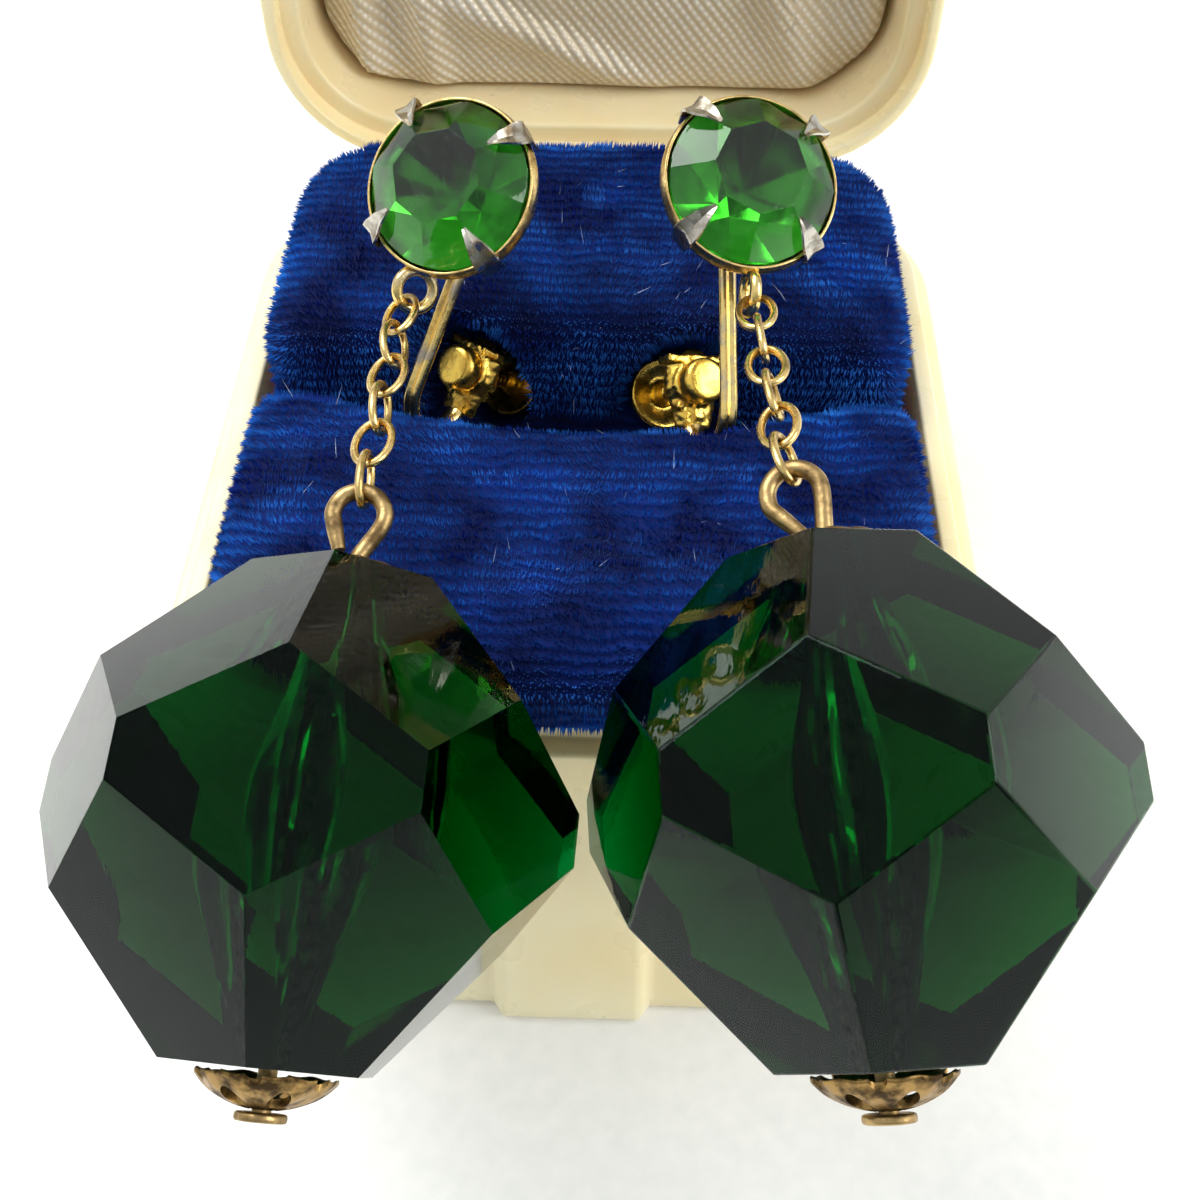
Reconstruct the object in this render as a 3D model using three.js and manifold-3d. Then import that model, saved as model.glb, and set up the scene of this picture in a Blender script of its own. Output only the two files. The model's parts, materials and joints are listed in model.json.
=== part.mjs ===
// A pair of screw-back drop earrings, tucked into an open ring box.
// Each earring has a round green stone in a four-claw cup, a bent ear wire with a screw and
// thumb disc, a short chain, and a large faceted bead on a headpin between two pierced caps.
// The box is a flared moulded base with two velvet pads, and a hinged lid with a satin lining.
// Units are millimetres. +X is right, +Y is back, +Z is up.
// The origin is the middle of the base's underside, which stands on the table.

import * as THREE from 'three';
import { ConvexGeometry } from 'three/addons/geometries/ConvexGeometry.js';
import { mergeVertices } from 'three/addons/utils/BufferGeometryUtils.js';
import Module from 'manifold-3d';

const wasm = await Module();
wasm.setup();

// Driving dimensions: the box
const BOX_WIDTH = 54; // outside, at the parting line between base and lid
const BOX_DEPTH = 56; // outside, front to back
const BASE_HEIGHT = 26; // table to the top of the inner lip
const LID_HEIGHT = 19; // parting line to the top of the closed lid
const CORNER_RADIUS = 11; // in plan
const FOOT_FLARE = 6; // how much further out the foot stands than the parting line
const WALL = 2.6;
const FLOOR_THICKNESS = 2.5;
const LIP_HEIGHT = 1.5; // the inner lip that the lid closes over
const LIP_INSET = 1.3; // from the outer wall to the lip
const TAB_WIDTH = 10.5; // the raised thumb tab on the front
const TAB_PROUD = 1.1;
const LID_OPEN_DEG = 95; // from closed to the open stop
const FIT_GAP = 0.3; // between pieces that touch

// Driving dimensions: the hinge
const HINGE_PIN_RADIUS = 0.7;
const HINGE_PIN_CLEARANCE = 0.2;
const KNUCKLE_RADIUS = 1.7;
const KNUCKLE_LENGTH = 8;
const KNUCKLE_GAP = 0.4;

// Driving dimensions: the pads and the lining
const PAD_HEIGHT_FRONT = 6.5; // above the base's lip
const PAD_HEIGHT_BACK = 8;
const PAD_SIDE_INSET = 1.7; // from the base's inner wall
const PAD_ROUNDING = 2.4;
const PAD_OVERHANG = 3.8; // how far the front pad swells over the base's front edge
const SLOT_Y = -1.5; // the middle of the slot between the pads
const SLOT_WIDTH = 1.8; // at its two ends
const SLOT_BOW_FRONT = 4.6; // how far the front pad is pressed forward in the middle
const SLOT_BOW_BACK = 2.2; // and the back pad backward
const LINING_DEPTH = 7; // parting line to the lining's edge
const LINING_CROWN = 1.5;
const LID_CEILING = 3; // thickness of the lid's top

// Driving dimensions: the earring's fitting
const STONE_DIAMETER = 10.7;
const TABLE_SHARE = 0.52; // of the stone's diameter
const CROWN_HEIGHT = 2.3;
const PAVILION_HEIGHT = 4.2;
const GIRDLE_THICKNESS = 0.35;
const CUP_WALL = 0.35;
const CUP_RIM = 0.1; // above the girdle's middle
const CUP_SHOULDER = 0.9; // how far below it the cup turns in
const CUP_FLOOR_GAP = 0.7; // under the stone's point
const STONE_GAP = 0.15; // between the stone and its cup or claws
const CLAW_WIDTH = 1.7;
const CLAW_REACH = 1.7; // how far a claw lies over the stone
const CLAW_COUNT = 4;
const CLAW_STAND_OFF = 0.3; // outside the cup
const CLAW_SHOULDER = 0.95; // above the girdle's middle, where a claw bends in
const CLAW_THICKNESS = 0.4; // at its tip
const EAR_WIRE_TOP = 1.2; // above the stone's centre
const EAR_WIRE_WIDTH = 1.3;
const EAR_WIRE_DEPTH = 0.95;
const EAR_WIRE_DROP = 15.5; // stone centre to the bottom of the bend
const EAR_GAP = 5.8; // between the two limbs' centre lines
const SCREW_DROP = 10.6; // stone centre to the screw's axis
const SCREW_RADIUS = 0.65;
const SCREW_CLEARANCE = 0.2;
const BARREL_RADIUS = 1.7;
const BARREL_LENGTH = 2;
const BUMP_RADIUS = 1.1; // the lump above the barrel
const PADDLE_HALF_WIDTH = 1.9; // the wire's flattened end round the barrel
const PADDLE_THICKNESS = 1.6;
const EAR_PAD_RADIUS = 1.6;
const EAR_PAD_THICKNESS = 1.3;
const EAR_PAD_WALL = 0.3;
const BALL_RADIUS = 0.95; // the screw's end, which turns in the ear pad
const THUMB_DISC_RADIUS = 2.6;
const THUMB_DISC_EDGE = 0.45;
const THUMB_DISC_DISH = 0.5;
const THUMB_DISC_OUT = 4.2; // barrel to thumb disc, with the screw backed out
const SOLDER = 0.1; // how far the ear wire sinks into the cup's back
const POCKET_CLEARANCE = 0.5; // the pads are pressed clear of the fitting by this

// Driving dimensions: the drop
const LINK_COUNT = 6;
const LINK_WIRE = 0.5; // diameter
const LINK_WIDTH = 2.8; // outside
const LINK_GAP = 0.16; // between two linked links
const LUG_WIRE = 0.75;
const LUG_RADIUS = 1.25; // the lug's centre line
const LUG_DEPTH = 1.3; // behind the girdle's middle
const PIN_RADIUS = 0.48;
const PIN_CLEARANCE = 0.3;
const EYE_RADIUS = 1.45; // the eye's centre line
const EYE_HEIGHT = 3; // top cap to the eye's middle
const PIN_HEAD_RADIUS = 1.3;
const PIN_HEAD_THICKNESS = 0.45;
const BEAD_ACROSS_FLATS = 24;
const BEAD_HEIGHT = 25.2;
const BEAD_SIDES = 6;
const BEAD_FACET_DEG = 39; // how far an upper facet's normal rises from the girdle
const BEAD_FACET_SHARE = 0.97; // its distance from the middle, as a share of the girdle's
const CAP_RADIUS = 3.5;
const CAP_THICKNESS = 0.4;
const TOP_CAP_RISE = 0.5;
const BOTTOM_CAP_RISE = 1.3;
const CAP_GAP = 0.2; // between a cap and its neighbours
const CAP_HOLES = 6;

// Facet counts
const WIRE_SIDES = 8;
const LINK_SIDES = 6;
const LINK_STEPS = 14;
const SCREW_SIDES = 18;
const CUP_SIDES = 24;

// How each earring lies in the box. The stone's middle is given from the slot and the lip, and the
// bead's from the front edge, as shares of the box's width, depth and base height. The angles are
// in degrees.
const EARRINGS = [
  {
    side: 'left',
    stone: { across: -0.16111, behindSlot: 0.064286, aboveLip: 0.69615 },
    tiltUp: 50,
    turn: -24,
    roll: -5,
    clawTurn: 8,
    wireTurn: -12,
    wireTilt: 6,
    bead: { across: -0.23704, inFront: 0.175, aboveLip: 0.31538 },
    beadPitch: 19,
    beadTurn: 4.2,
    beadRoll: 4,
    eyeLean: -5,
    lugTurn: 50,
    linkRolls: [25, -60, 15, -75, 10, -85],
  },
  {
    side: 'right',
    stone: { across: 0.19444, behindSlot: 0.066071, aboveLip: 0.72308 },
    tiltUp: 56,
    turn: 22,
    roll: -15,
    clawTurn: -6,
    wireTurn: 10,
    wireTilt: 6,
    bead: { across: 0.27407, inFront: 0.17857, aboveLip: 0.43846 },
    beadPitch: 21.7,
    beadTurn: -5.5,
    beadRoll: -18,
    eyeLean: 20,
    lugTurn: 90,
    linkRolls: [10, -75, 10, -65, 30, -50],
  },
];

// Derived places
const partingZ = BASE_HEIGHT - LIP_HEIGHT;
const hingeY = BOX_DEPTH / 2 + KNUCKLE_RADIUS + FIT_GAP;
const padBottomZ = FLOOR_THICKNESS + FIT_GAP;
const innerHalfWidth = BOX_WIDTH / 2 - WALL;
const innerHalfDepth = BOX_DEPTH / 2 - WALL;
const padCornerRadius = CORNER_RADIUS - WALL - PAD_SIDE_INSET;
const earPadBack = -EAR_GAP + BARREL_LENGTH / 2 + FIT_GAP;
const thumbDiscZ = -EAR_GAP - BARREL_LENGTH / 2 - THUMB_DISC_OUT;

// Materials
const ivoryPlastic = new THREE.MeshStandardMaterial({ color: 0xf1e6c4, roughness: 0.35, metalness: 0 });
const blueVelvet = new THREE.MeshStandardMaterial({ color: 0x0b2a78, roughness: 0.95, metalness: 0 });
const creamSatin = new THREE.MeshStandardMaterial({ color: 0xd9cdb4, roughness: 0.45, metalness: 0 });
const goldPlate = new THREE.MeshStandardMaterial({ color: 0xc9a659, roughness: 0.35, metalness: 1 });
const agedBrass = new THREE.MeshStandardMaterial({ color: 0x8f7748, roughness: 0.5, metalness: 1 });
const steel = new THREE.MeshStandardMaterial({ color: 0xb8b6b0, roughness: 0.35, metalness: 1 });
const greenGlass = new THREE.MeshStandardMaterial({ color: 0x1f7a35, roughness: 0.05, metalness: 0 });
const greenAcrylic = new THREE.MeshStandardMaterial({ color: 0x06371f, roughness: 0.05, metalness: 0 });

// A closed geometry as a solid, and back again
function toSolid(geometry) {
  const bare = geometry.index ? geometry.toNonIndexed() : geometry.clone();
  bare.deleteAttribute('normal');
  bare.deleteAttribute('uv');
  const merged = mergeVertices(bare, 1e-4);
  const mesh = new wasm.Mesh({
    numProp: 3,
    vertProperties: new Float32Array(merged.attributes.position.array),
    triVerts: new Uint32Array(merged.index.array),
  });
  return new wasm.Manifold(mesh);
}

function toGeometry(solid) {
  const mesh = solid.getMesh();
  const geometry = new THREE.BufferGeometry();
  geometry.setAttribute('position', new THREE.BufferAttribute(new Float32Array(mesh.vertProperties), 3));
  geometry.setIndex(new THREE.BufferAttribute(new Uint32Array(mesh.triVerts), 1));
  return geometry;
}

function join(...geometries) {
  return toGeometry(geometries.map(toSolid).reduce((whole, next) => whole.add(next)));
}

function cut(geometry, ...tools) {
  return toGeometry(tools.map(toSolid).reduce((rest, tool) => rest.subtract(tool), toSolid(geometry)));
}

function common(...geometries) {
  return toGeometry(geometries.map(toSolid).reduce((whole, next) => whole.intersect(next)));
}

// A plan outline with round corners, as points that run anticlockwise at one height
function roundedOutline(halfX, halfY, frontRadius, backRadius, z, cornerSteps = 5, sideSteps = 4) {
  const corners = [
    { x: 1, y: -1, startDeg: -90, radius: frontRadius },
    { x: 1, y: 1, startDeg: 0, radius: backRadius },
    { x: -1, y: 1, startDeg: 90, radius: backRadius },
    { x: -1, y: -1, startDeg: 180, radius: frontRadius },
  ];
  const onCorner = ({ x, y, startDeg, radius }, deg) => {
    const a = THREE.MathUtils.degToRad(startDeg + deg);
    return new THREE.Vector3(
      x * (halfX - radius) + radius * Math.cos(a),
      y * (halfY - radius) + radius * Math.sin(a),
      z,
    );
  };
  const points = [];
  corners.forEach((corner, i) => {
    for (let k = 0; k <= cornerSteps; k++) points.push(onCorner(corner, (90 * k) / cornerSteps));
    const from = onCorner(corner, 90);
    const to = onCorner(corners[(i + 1) % corners.length], 0);
    for (let k = 1; k < sideSteps; k++) points.push(from.clone().lerp(to, k / sideSteps));
  });
  return points;
}

// A closed skin through outlines of equal length: up the outside, over the edge, down the inside
function loft(outlines) {
  const count = outlines[0].length;
  const positions = [];
  const triangle = (a, b, c) => positions.push(...a.toArray(), ...b.toArray(), ...c.toArray());
  const middle = (outline) =>
    outline.reduce((sum, p) => sum.add(p), new THREE.Vector3()).divideScalar(outline.length);
  for (let k = 0; k + 1 < outlines.length; k++) {
    for (let i = 0; i < count; i++) {
      const j = (i + 1) % count;
      triangle(outlines[k][i], outlines[k][j], outlines[k + 1][j]);
      triangle(outlines[k][i], outlines[k + 1][j], outlines[k + 1][i]);
    }
  }
  const first = outlines[0];
  const last = outlines[outlines.length - 1];
  const firstMiddle = middle(first);
  const lastMiddle = middle(last);
  for (let i = 0; i < count; i++) {
    const j = (i + 1) % count;
    triangle(firstMiddle, first[j], first[i]);
    triangle(lastMiddle, last[i], last[j]);
  }
  const geometry = new THREE.BufferGeometry();
  geometry.setAttribute('position', new THREE.Float32BufferAttribute(positions, 3));
  return geometry;
}

// A wall whose profile is a table of {out, z}: out is measured from the parting line's outline
function loftBoxWall(profile) {
  return loft(
    profile.map(({ out, z }) => {
      const radius = Math.max(CORNER_RADIUS + out, 1);
      return roundedOutline(BOX_WIDTH / 2 + out, BOX_DEPTH / 2 + out, radius, radius, z);
    }),
  );
}

// A wire along a curve, with a round or oval section
function wire(curve, halfWidth, halfDepth, sides, steps) {
  const section = new THREE.Shape(
    Array.from({ length: sides }, (_, i) => {
      const a = (2 * Math.PI * i) / sides;
      return new THREE.Vector2(halfDepth * Math.cos(a), halfWidth * Math.sin(a));
    }),
  );
  return new THREE.ExtrudeGeometry(section, { steps, extrudePath: curve, bevelEnabled: false });
}

// A cylinder whose axis is Z or X
function rodZ(radius, length, sides = 16) {
  return new THREE.CylinderGeometry(radius, radius, length, sides).rotateX(Math.PI / 2);
}

function rodX(radius, length, sides = 16) {
  return new THREE.CylinderGeometry(radius, radius, length, sides).rotateZ(Math.PI / 2);
}

// A turned piece whose axis is Z, from a profile of [radius, z] points
function turned(profile, sides) {
  return new THREE.LatheGeometry(
    profile.map(([r, z]) => new THREE.Vector2(r, z)),
    sides,
  ).rotateX(Math.PI / 2);
}

function named(name, geometry, material) {
  const mesh = new THREE.Mesh(geometry, material);
  mesh.name = name;
  return mesh;
}

// A hinge knuckle on the hinge axis, with the web that carries it: upwards to the lid's wall, or
// downwards to the base's, starting clear of the parting line
function makeKnuckle(upward, clear) {
  const wallY = -KNUCKLE_RADIUS - WALL / 2;
  const web = new ConvexGeometry(
    [-1, 1].flatMap((end) => [
      new THREE.Vector3((end * KNUCKLE_LENGTH) / 2, 0.6 * KNUCKLE_RADIUS, upward * 0.8 * KNUCKLE_RADIUS),
      new THREE.Vector3((end * KNUCKLE_LENGTH) / 2, wallY, upward * 3 * KNUCKLE_RADIUS),
      new THREE.Vector3((end * KNUCKLE_LENGTH) / 2, wallY, upward * clear),
      new THREE.Vector3((end * KNUCKLE_LENGTH) / 2, 0, upward * FIT_GAP),
    ]),
  );
  return join(rodX(KNUCKLE_RADIUS, KNUCKLE_LENGTH), web);
}

// The base: a flared tray with an inner lip, a thumb tab and two hinge knuckles
function makeBase() {
  const shell = loftBoxWall([
    { out: FOOT_FLARE, z: 0 },
    { out: FOOT_FLARE, z: 0.05 * BASE_HEIGHT },
    { out: 0.55 * FOOT_FLARE, z: 0.25 * BASE_HEIGHT },
    { out: 0.2 * FOOT_FLARE, z: 0.55 * BASE_HEIGHT },
    { out: 0, z: partingZ },
    { out: -LIP_INSET, z: partingZ },
    { out: -LIP_INSET, z: BASE_HEIGHT },
    { out: -WALL, z: BASE_HEIGHT },
    { out: -WALL, z: FLOOR_THICKNESS },
  ]);
  const tabFront = -BOX_DEPTH / 2 - FOOT_FLARE - TAB_PROUD;
  const tab = new ConvexGeometry(
    [-1, 1].flatMap((side) => [
      new THREE.Vector3((side * TAB_WIDTH) / 2, tabFront, 0),
      new THREE.Vector3((side * TAB_WIDTH) / 2, tabFront, 0.06 * BASE_HEIGHT),
      new THREE.Vector3((side * TAB_WIDTH) / 2, -BOX_DEPTH / 2 - TAB_PROUD / 2, 0.6 * BASE_HEIGHT),
      new THREE.Vector3((side * TAB_WIDTH) / 2, -BOX_DEPTH / 2 + WALL / 2, 0.7 * BASE_HEIGHT),
      new THREE.Vector3((side * TAB_WIDTH) / 2, -BOX_DEPTH / 2 + WALL / 2, 0),
    ]),
  );
  const knuckles = [-1, 1].map((side) => {
    const x = side * (KNUCKLE_LENGTH + KNUCKLE_GAP);
    return makeKnuckle(-1, FIT_GAP).translate(x, hingeY, partingZ);
  });
  const bore = rodX(HINGE_PIN_RADIUS + HINGE_PIN_CLEARANCE, BOX_WIDTH).translate(0, hingeY, partingZ);
  return named('box_base', cut(join(shell, tab, ...knuckles), bore), ivoryPlastic);
}

// The lid, closed, with its hinge axis at the origin; the group that holds it is turned open
function makeLid() {
  const fromHinge = (geometry) => geometry.translate(0, -hingeY, 0);
  const ceilingZ = LID_HEIGHT - LID_CEILING;
  const shell = fromHinge(
    loftBoxWall([
      { out: -WALL - 0.2 * LID_HEIGHT, z: ceilingZ },
      { out: -1.08 * WALL, z: 0.7 * ceilingZ },
      { out: -WALL, z: LIP_HEIGHT + FIT_GAP },
      { out: -LIP_INSET + FIT_GAP, z: LIP_HEIGHT + FIT_GAP },
      { out: -LIP_INSET + FIT_GAP, z: 0 },
      { out: 0, z: 0 },
      { out: 0, z: 0.45 * LID_HEIGHT },
      { out: -0.3 * WALL, z: 0.7 * LID_HEIGHT },
      { out: -WALL, z: 0.88 * LID_HEIGHT },
      { out: -WALL - 0.1 * LID_HEIGHT, z: 0.97 * LID_HEIGHT },
      { out: -WALL - 0.3 * LID_HEIGHT, z: LID_HEIGHT },
    ]),
  );
  const knuckle = makeKnuckle(1, LIP_HEIGHT + 2 * FIT_GAP);
  const bore = rodX(HINGE_PIN_RADIUS + HINGE_PIN_CLEARANCE, BOX_WIDTH);
  const lining = fromHinge(makeLining(ceilingZ));
  const group = new THREE.Group();
  group.add(named('box_lid', cut(join(shell, knuckle), bore), ivoryPlastic));
  group.add(named('lid_lining', lining, creamSatin));
  group.position.set(0, hingeY, partingZ);
  group.rotation.x = -THREE.MathUtils.degToRad(LID_OPEN_DEG);
  return group;
}

// The padded satin lining inside the lid, a crowned block
function makeLining(ceilingZ) {
  const edge = -1.08 * WALL - FIT_GAP;
  return loftBoxWall([
    { out: edge - 0.35 * BOX_WIDTH, z: LINING_DEPTH - LINING_CROWN },
    { out: edge - 0.15 * BOX_WIDTH, z: LINING_DEPTH - 0.8 * LINING_CROWN },
    { out: edge - 0.02 * BOX_WIDTH, z: LINING_DEPTH - 0.2 * LINING_CROWN },
    { out: edge, z: LINING_DEPTH + 0.3 * LINING_CROWN },
    { out: edge, z: 0.68 * ceilingZ },
    { out: edge - 0.2 * LID_HEIGHT, z: ceilingZ - FIT_GAP },
  ]);
}

// A velvet pad between two depths. Its slot side is pressed away from the slot in the middle, and
// its front swells over the base's edge.
function makePadBody({ frontY, backY, topZ, pressFront, pressBack, overhang, frontRadius, backRadius }) {
  const halfX = innerHalfWidth - PAD_SIDE_INSET;
  const halfY = (backY - frontY) / 2;
  const middleY = (backY + frontY) / 2;
  const outline = (inset, z, swell) =>
    roundedOutline(halfX - inset, halfY - inset, frontRadius, backRadius, z, 4, 6).map((p) => {
      const backness = Math.max(p.y, 0) / halfY;
      const frontness = Math.max(-p.y, 0) / halfY;
      const across = Math.cos(Math.min(1, Math.abs(p.x) / halfX) * (Math.PI / 2));
      const push = across * (pressFront * frontness - pressBack * backness) - swell * frontness;
      return new THREE.Vector3(p.x, middleY + p.y + push, p.z);
    });
  const rimZ = BASE_HEIGHT + FIT_GAP;
  return loft([
    outline(0, padBottomZ, 0),
    outline(0, rimZ, 0),
    outline(0, rimZ, overhang),
    outline(0, topZ - PAD_ROUNDING, overhang),
    outline(0.3 * PAD_ROUNDING, topZ - 0.35 * PAD_ROUNDING, 0.7 * overhang),
    outline(PAD_ROUNDING, topZ, 0),
  ]);
}

// The stone: an octagonal crown and a turned octagonal pavilion within a round girdle.
// Its girdle's middle is the origin and +Z leaves through the table.
function makeStone() {
  const radius = STONE_DIAMETER / 2;
  const octagon = radius / Math.cos(Math.PI / 8);
  const tableRadius = TABLE_SHARE * octagon;
  const slope = (octagon - tableRadius) / CROWN_HEIGHT;
  const below = PAVILION_HEIGHT + GIRDLE_THICKNESS;
  const crown = new THREE.CylinderGeometry(tableRadius, octagon + slope * below, CROWN_HEIGHT + below, 8)
    .rotateX(Math.PI / 2)
    .translate(0, 0, (CROWN_HEIGHT - below) / 2);
  const widening = octagon / PAVILION_HEIGHT;
  const pavilion = new THREE.CylinderGeometry(octagon + widening * CROWN_HEIGHT, 0.02, below + CROWN_HEIGHT, 8)
    .rotateX(Math.PI / 2)
    .rotateZ(Math.PI / 8)
    .translate(0, 0, (CROWN_HEIGHT - below) / 2);
  return common(crown, pavilion, rodZ(radius, 3 * STONE_DIAMETER, 32));
}

// The cup that holds the stone, with bent claws over its edge
function makeCup(clawTurn) {
  const inner = STONE_DIAMETER / 2 + STONE_GAP;
  const outer = inner + CUP_WALL;
  const floorZ = -PAVILION_HEIGHT - CUP_FLOOR_GAP;
  const cup = turned(
    [
      [0, floorZ - CUP_WALL],
      [0.45 * outer, floorZ - CUP_WALL],
      [outer, -CUP_SHOULDER],
      [outer, CUP_RIM],
      [inner, CUP_RIM],
      [inner, -0.8 * CUP_SHOULDER],
      [0.4 * inner, floorZ],
      [0, floorZ],
    ],
    CUP_SIDES,
  );
  const clawInside = inner + CUP_WALL / 7;
  const clawOutside = outer + CLAW_STAND_OFF;
  const tipX = inner - CLAW_REACH;
  const tipZ = CROWN_HEIGHT * (CLAW_REACH / (inner * (1 - TABLE_SHARE))) + 2 * STONE_GAP;
  const pair = (x, widthShare, z) =>
    [-1, 1].map((s) => new THREE.Vector3(x, (s * widthShare * CLAW_WIDTH) / 2, z));
  const claws = Array.from({ length: CLAW_COUNT }, (_, i) => {
    const post = new ConvexGeometry([
      ...pair(clawInside, 1, -CLAW_SHOULDER),
      ...pair(clawOutside, 1, -CLAW_SHOULDER),
      ...pair(clawInside, 0.9, 0.6 * CLAW_SHOULDER),
      ...pair(clawOutside, 0.9, 0.5 * CLAW_SHOULDER),
    ]);
    const tip = new ConvexGeometry([
      ...pair(clawInside, 0.9, 0.35 * CLAW_SHOULDER),
      ...pair(clawOutside, 0.9, 0.3 * CLAW_SHOULDER),
      ...pair(clawInside, 0.75, CLAW_SHOULDER),
      ...pair(tipX, 0.24, tipZ),
      new THREE.Vector3(tipX, 0, tipZ + CLAW_THICKNESS),
      new THREE.Vector3(inner - 0.3 * CLAW_REACH, 0, 1.3 * CLAW_SHOULDER),
    ]);
    const around = (2 * Math.PI * (i + 0.5)) / CLAW_COUNT + THREE.MathUtils.degToRad(clawTurn);
    return join(post, tip).rotateZ(around);
  });
  return { geometry: join(cup, ...claws), floorZ: floorZ - CUP_WALL };
}

// The ear wire, in a frame whose XY plane holds its front limb: down behind the stone, round
// the bend, and up to the barrel that the screw runs through
function makeEarWire() {
  const bend = EAR_GAP / 2;
  const barrelZ = -EAR_GAP;
  const at = (y, z) => new THREE.Vector3(0, y, z);
  const bendY = bend - EAR_WIRE_DROP;
  const arc = [30, 60, 90, 120, 150].map((deg) => {
    const a = THREE.MathUtils.degToRad(deg);
    return at(bendY - bend * Math.sin(a), bend * (Math.cos(a) - 1));
  });
  const path = new THREE.CatmullRomCurve3([
    at(EAR_WIRE_TOP, 0),
    at(0.3 * bendY, 0),
    at(0.7 * bendY, 0),
    at(bendY, 0),
    ...arc,
    at(bendY, barrelZ),
    at(-SCREW_DROP - 0.7 * BARREL_RADIUS, barrelZ),
  ]);
  const limb = wire(path, EAR_WIRE_WIDTH / 2, EAR_WIRE_DEPTH / 2, WIRE_SIDES, 30);
  const shoulderY = -SCREW_DROP + BARREL_RADIUS;
  const paddleRow = (widthShare, y, depthShare) =>
    [-1, 1].flatMap((face) =>
      [-1, 1].map((s) =>
        at(y, barrelZ + face * depthShare * PADDLE_THICKNESS).setX(s * widthShare * PADDLE_HALF_WIDTH),
      ),
    );
  const paddle = new ConvexGeometry([
    ...paddleRow(0.3, bendY - 0.4 * bend, 0.28),
    ...paddleRow(1, -SCREW_DROP - 0.25 * BARREL_RADIUS, 0.5),
    ...paddleRow(0.95, shoulderY, 0.44),
  ]);
  const barrel = rodZ(BARREL_RADIUS, BARREL_LENGTH, 14).translate(0, -SCREW_DROP, barrelZ);
  const bump = new THREE.SphereGeometry(BUMP_RADIUS, 10, 6).translate(0, shoulderY, barrelZ);
  const boreRadius = SCREW_RADIUS + SCREW_CLEARANCE;
  const bore = rodZ(boreRadius, 4 * BARREL_LENGTH, SCREW_SIDES).translate(0, -SCREW_DROP, barrelZ);
  return cut(join(limb, paddle, barrel, bump), bore);
}

// The thumb screw, backed out, in the ear wire's frame moved to the screw's axis: its disc, its
// thread and the ball that turns in the ear pad
function makeScrew() {
  const neck = BALL_RADIUS - 2 * SCREW_CLEARANCE;
  const ballBack = earPadBack + EAR_PAD_WALL + SCREW_CLEARANCE;
  const ballFront = earPadBack + EAR_PAD_THICKNESS - EAR_PAD_WALL - SCREW_CLEARANCE;
  return turned(
    [
      [0, thumbDiscZ - 1.1 * THUMB_DISC_DISH],
      [0.35 * THUMB_DISC_RADIUS, thumbDiscZ - THUMB_DISC_DISH],
      [THUMB_DISC_RADIUS, thumbDiscZ],
      [THUMB_DISC_RADIUS, thumbDiscZ + THUMB_DISC_EDGE],
      [0.86 * THUMB_DISC_RADIUS, thumbDiscZ + THUMB_DISC_EDGE],
      [0.4 * THUMB_DISC_RADIUS, thumbDiscZ + THUMB_DISC_EDGE - THUMB_DISC_DISH],
      [1.5 * SCREW_RADIUS, thumbDiscZ + 0.7 * THUMB_DISC_EDGE],
      [SCREW_RADIUS, thumbDiscZ + 2 * THUMB_DISC_EDGE],
      [SCREW_RADIUS, earPadBack - SCREW_CLEARANCE],
      [neck, earPadBack],
      [neck, ballBack],
      [BALL_RADIUS, ballBack],
      [BALL_RADIUS, ballFront],
      [0, ballFront],
    ],
    SCREW_SIDES,
  );
}

// The ear pad, a cupped disc that holds the screw's ball end, in the screw's frame
function makeEarPad() {
  const cavity = BALL_RADIUS + SCREW_CLEARANCE;
  const mouth = BALL_RADIUS - SCREW_CLEARANCE;
  const face = earPadBack + EAR_PAD_THICKNESS;
  return turned(
    [
      [0, face - EAR_PAD_WALL],
      [cavity, face - EAR_PAD_WALL],
      [cavity, earPadBack + EAR_PAD_WALL],
      [mouth, earPadBack + EAR_PAD_WALL],
      [mouth, earPadBack],
      [EAR_PAD_RADIUS, earPadBack],
      [EAR_PAD_RADIUS, face - EAR_PAD_WALL],
      [EAR_PAD_RADIUS - EAR_PAD_WALL, face],
      [0, face],
    ],
    SCREW_SIDES,
  );
}

// The lug ring at the foot of the cup, which carries the chain
function makeLug(lugTurn) {
  const turn = THREE.MathUtils.degToRad(lugTurn);
  const cupEdge = STONE_DIAMETER / 2 + STONE_GAP + CUP_WALL;
  const centre = new THREE.Vector3(0, -cupEdge - 0.75 * LUG_RADIUS, -LUG_DEPTH);
  const ring = new THREE.TorusGeometry(LUG_RADIUS, LUG_WIRE / 2, LINK_SIDES, LINK_STEPS);
  return {
    geometry: ring.rotateY(turn).translate(...centre),
    centre,
    normal: new THREE.Vector3(Math.sin(turn), 0, Math.cos(turn)),
  };
}

// The room that the ear wire and the screw press into the pads, in the ear wire's frame
function makePocket() {
  const c = POCKET_CLEARANCE;
  const bottom = -EAR_WIRE_DROP - EAR_WIRE_DEPTH / 2 - c;
  const box = (topY, backZ, frontZ) =>
    new THREE.BoxGeometry(2 * (PADDLE_HALF_WIDTH + c), topY - bottom, frontZ - backZ).translate(
      0,
      (topY + bottom) / 2,
      (frontZ + backZ) / 2,
    );
  const frontZ = EAR_WIRE_DEPTH / 2 + c;
  const limbRoom = box(0, -frontZ, frontZ);
  const bumpTop = -SCREW_DROP + BARREL_RADIUS + BUMP_RADIUS;
  const barrelRoom = box(bumpTop + c, -EAR_GAP - BARREL_LENGTH / 2 - c, frontZ);
  const discBack = thumbDiscZ - THUMB_DISC_DISH - c;
  const discRoom = rodZ(THUMB_DISC_RADIUS + c, -discBack).translate(0, -SCREW_DROP, discBack / 2);
  return join(limbRoom, barrelRoom, discRoom);
}

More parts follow.
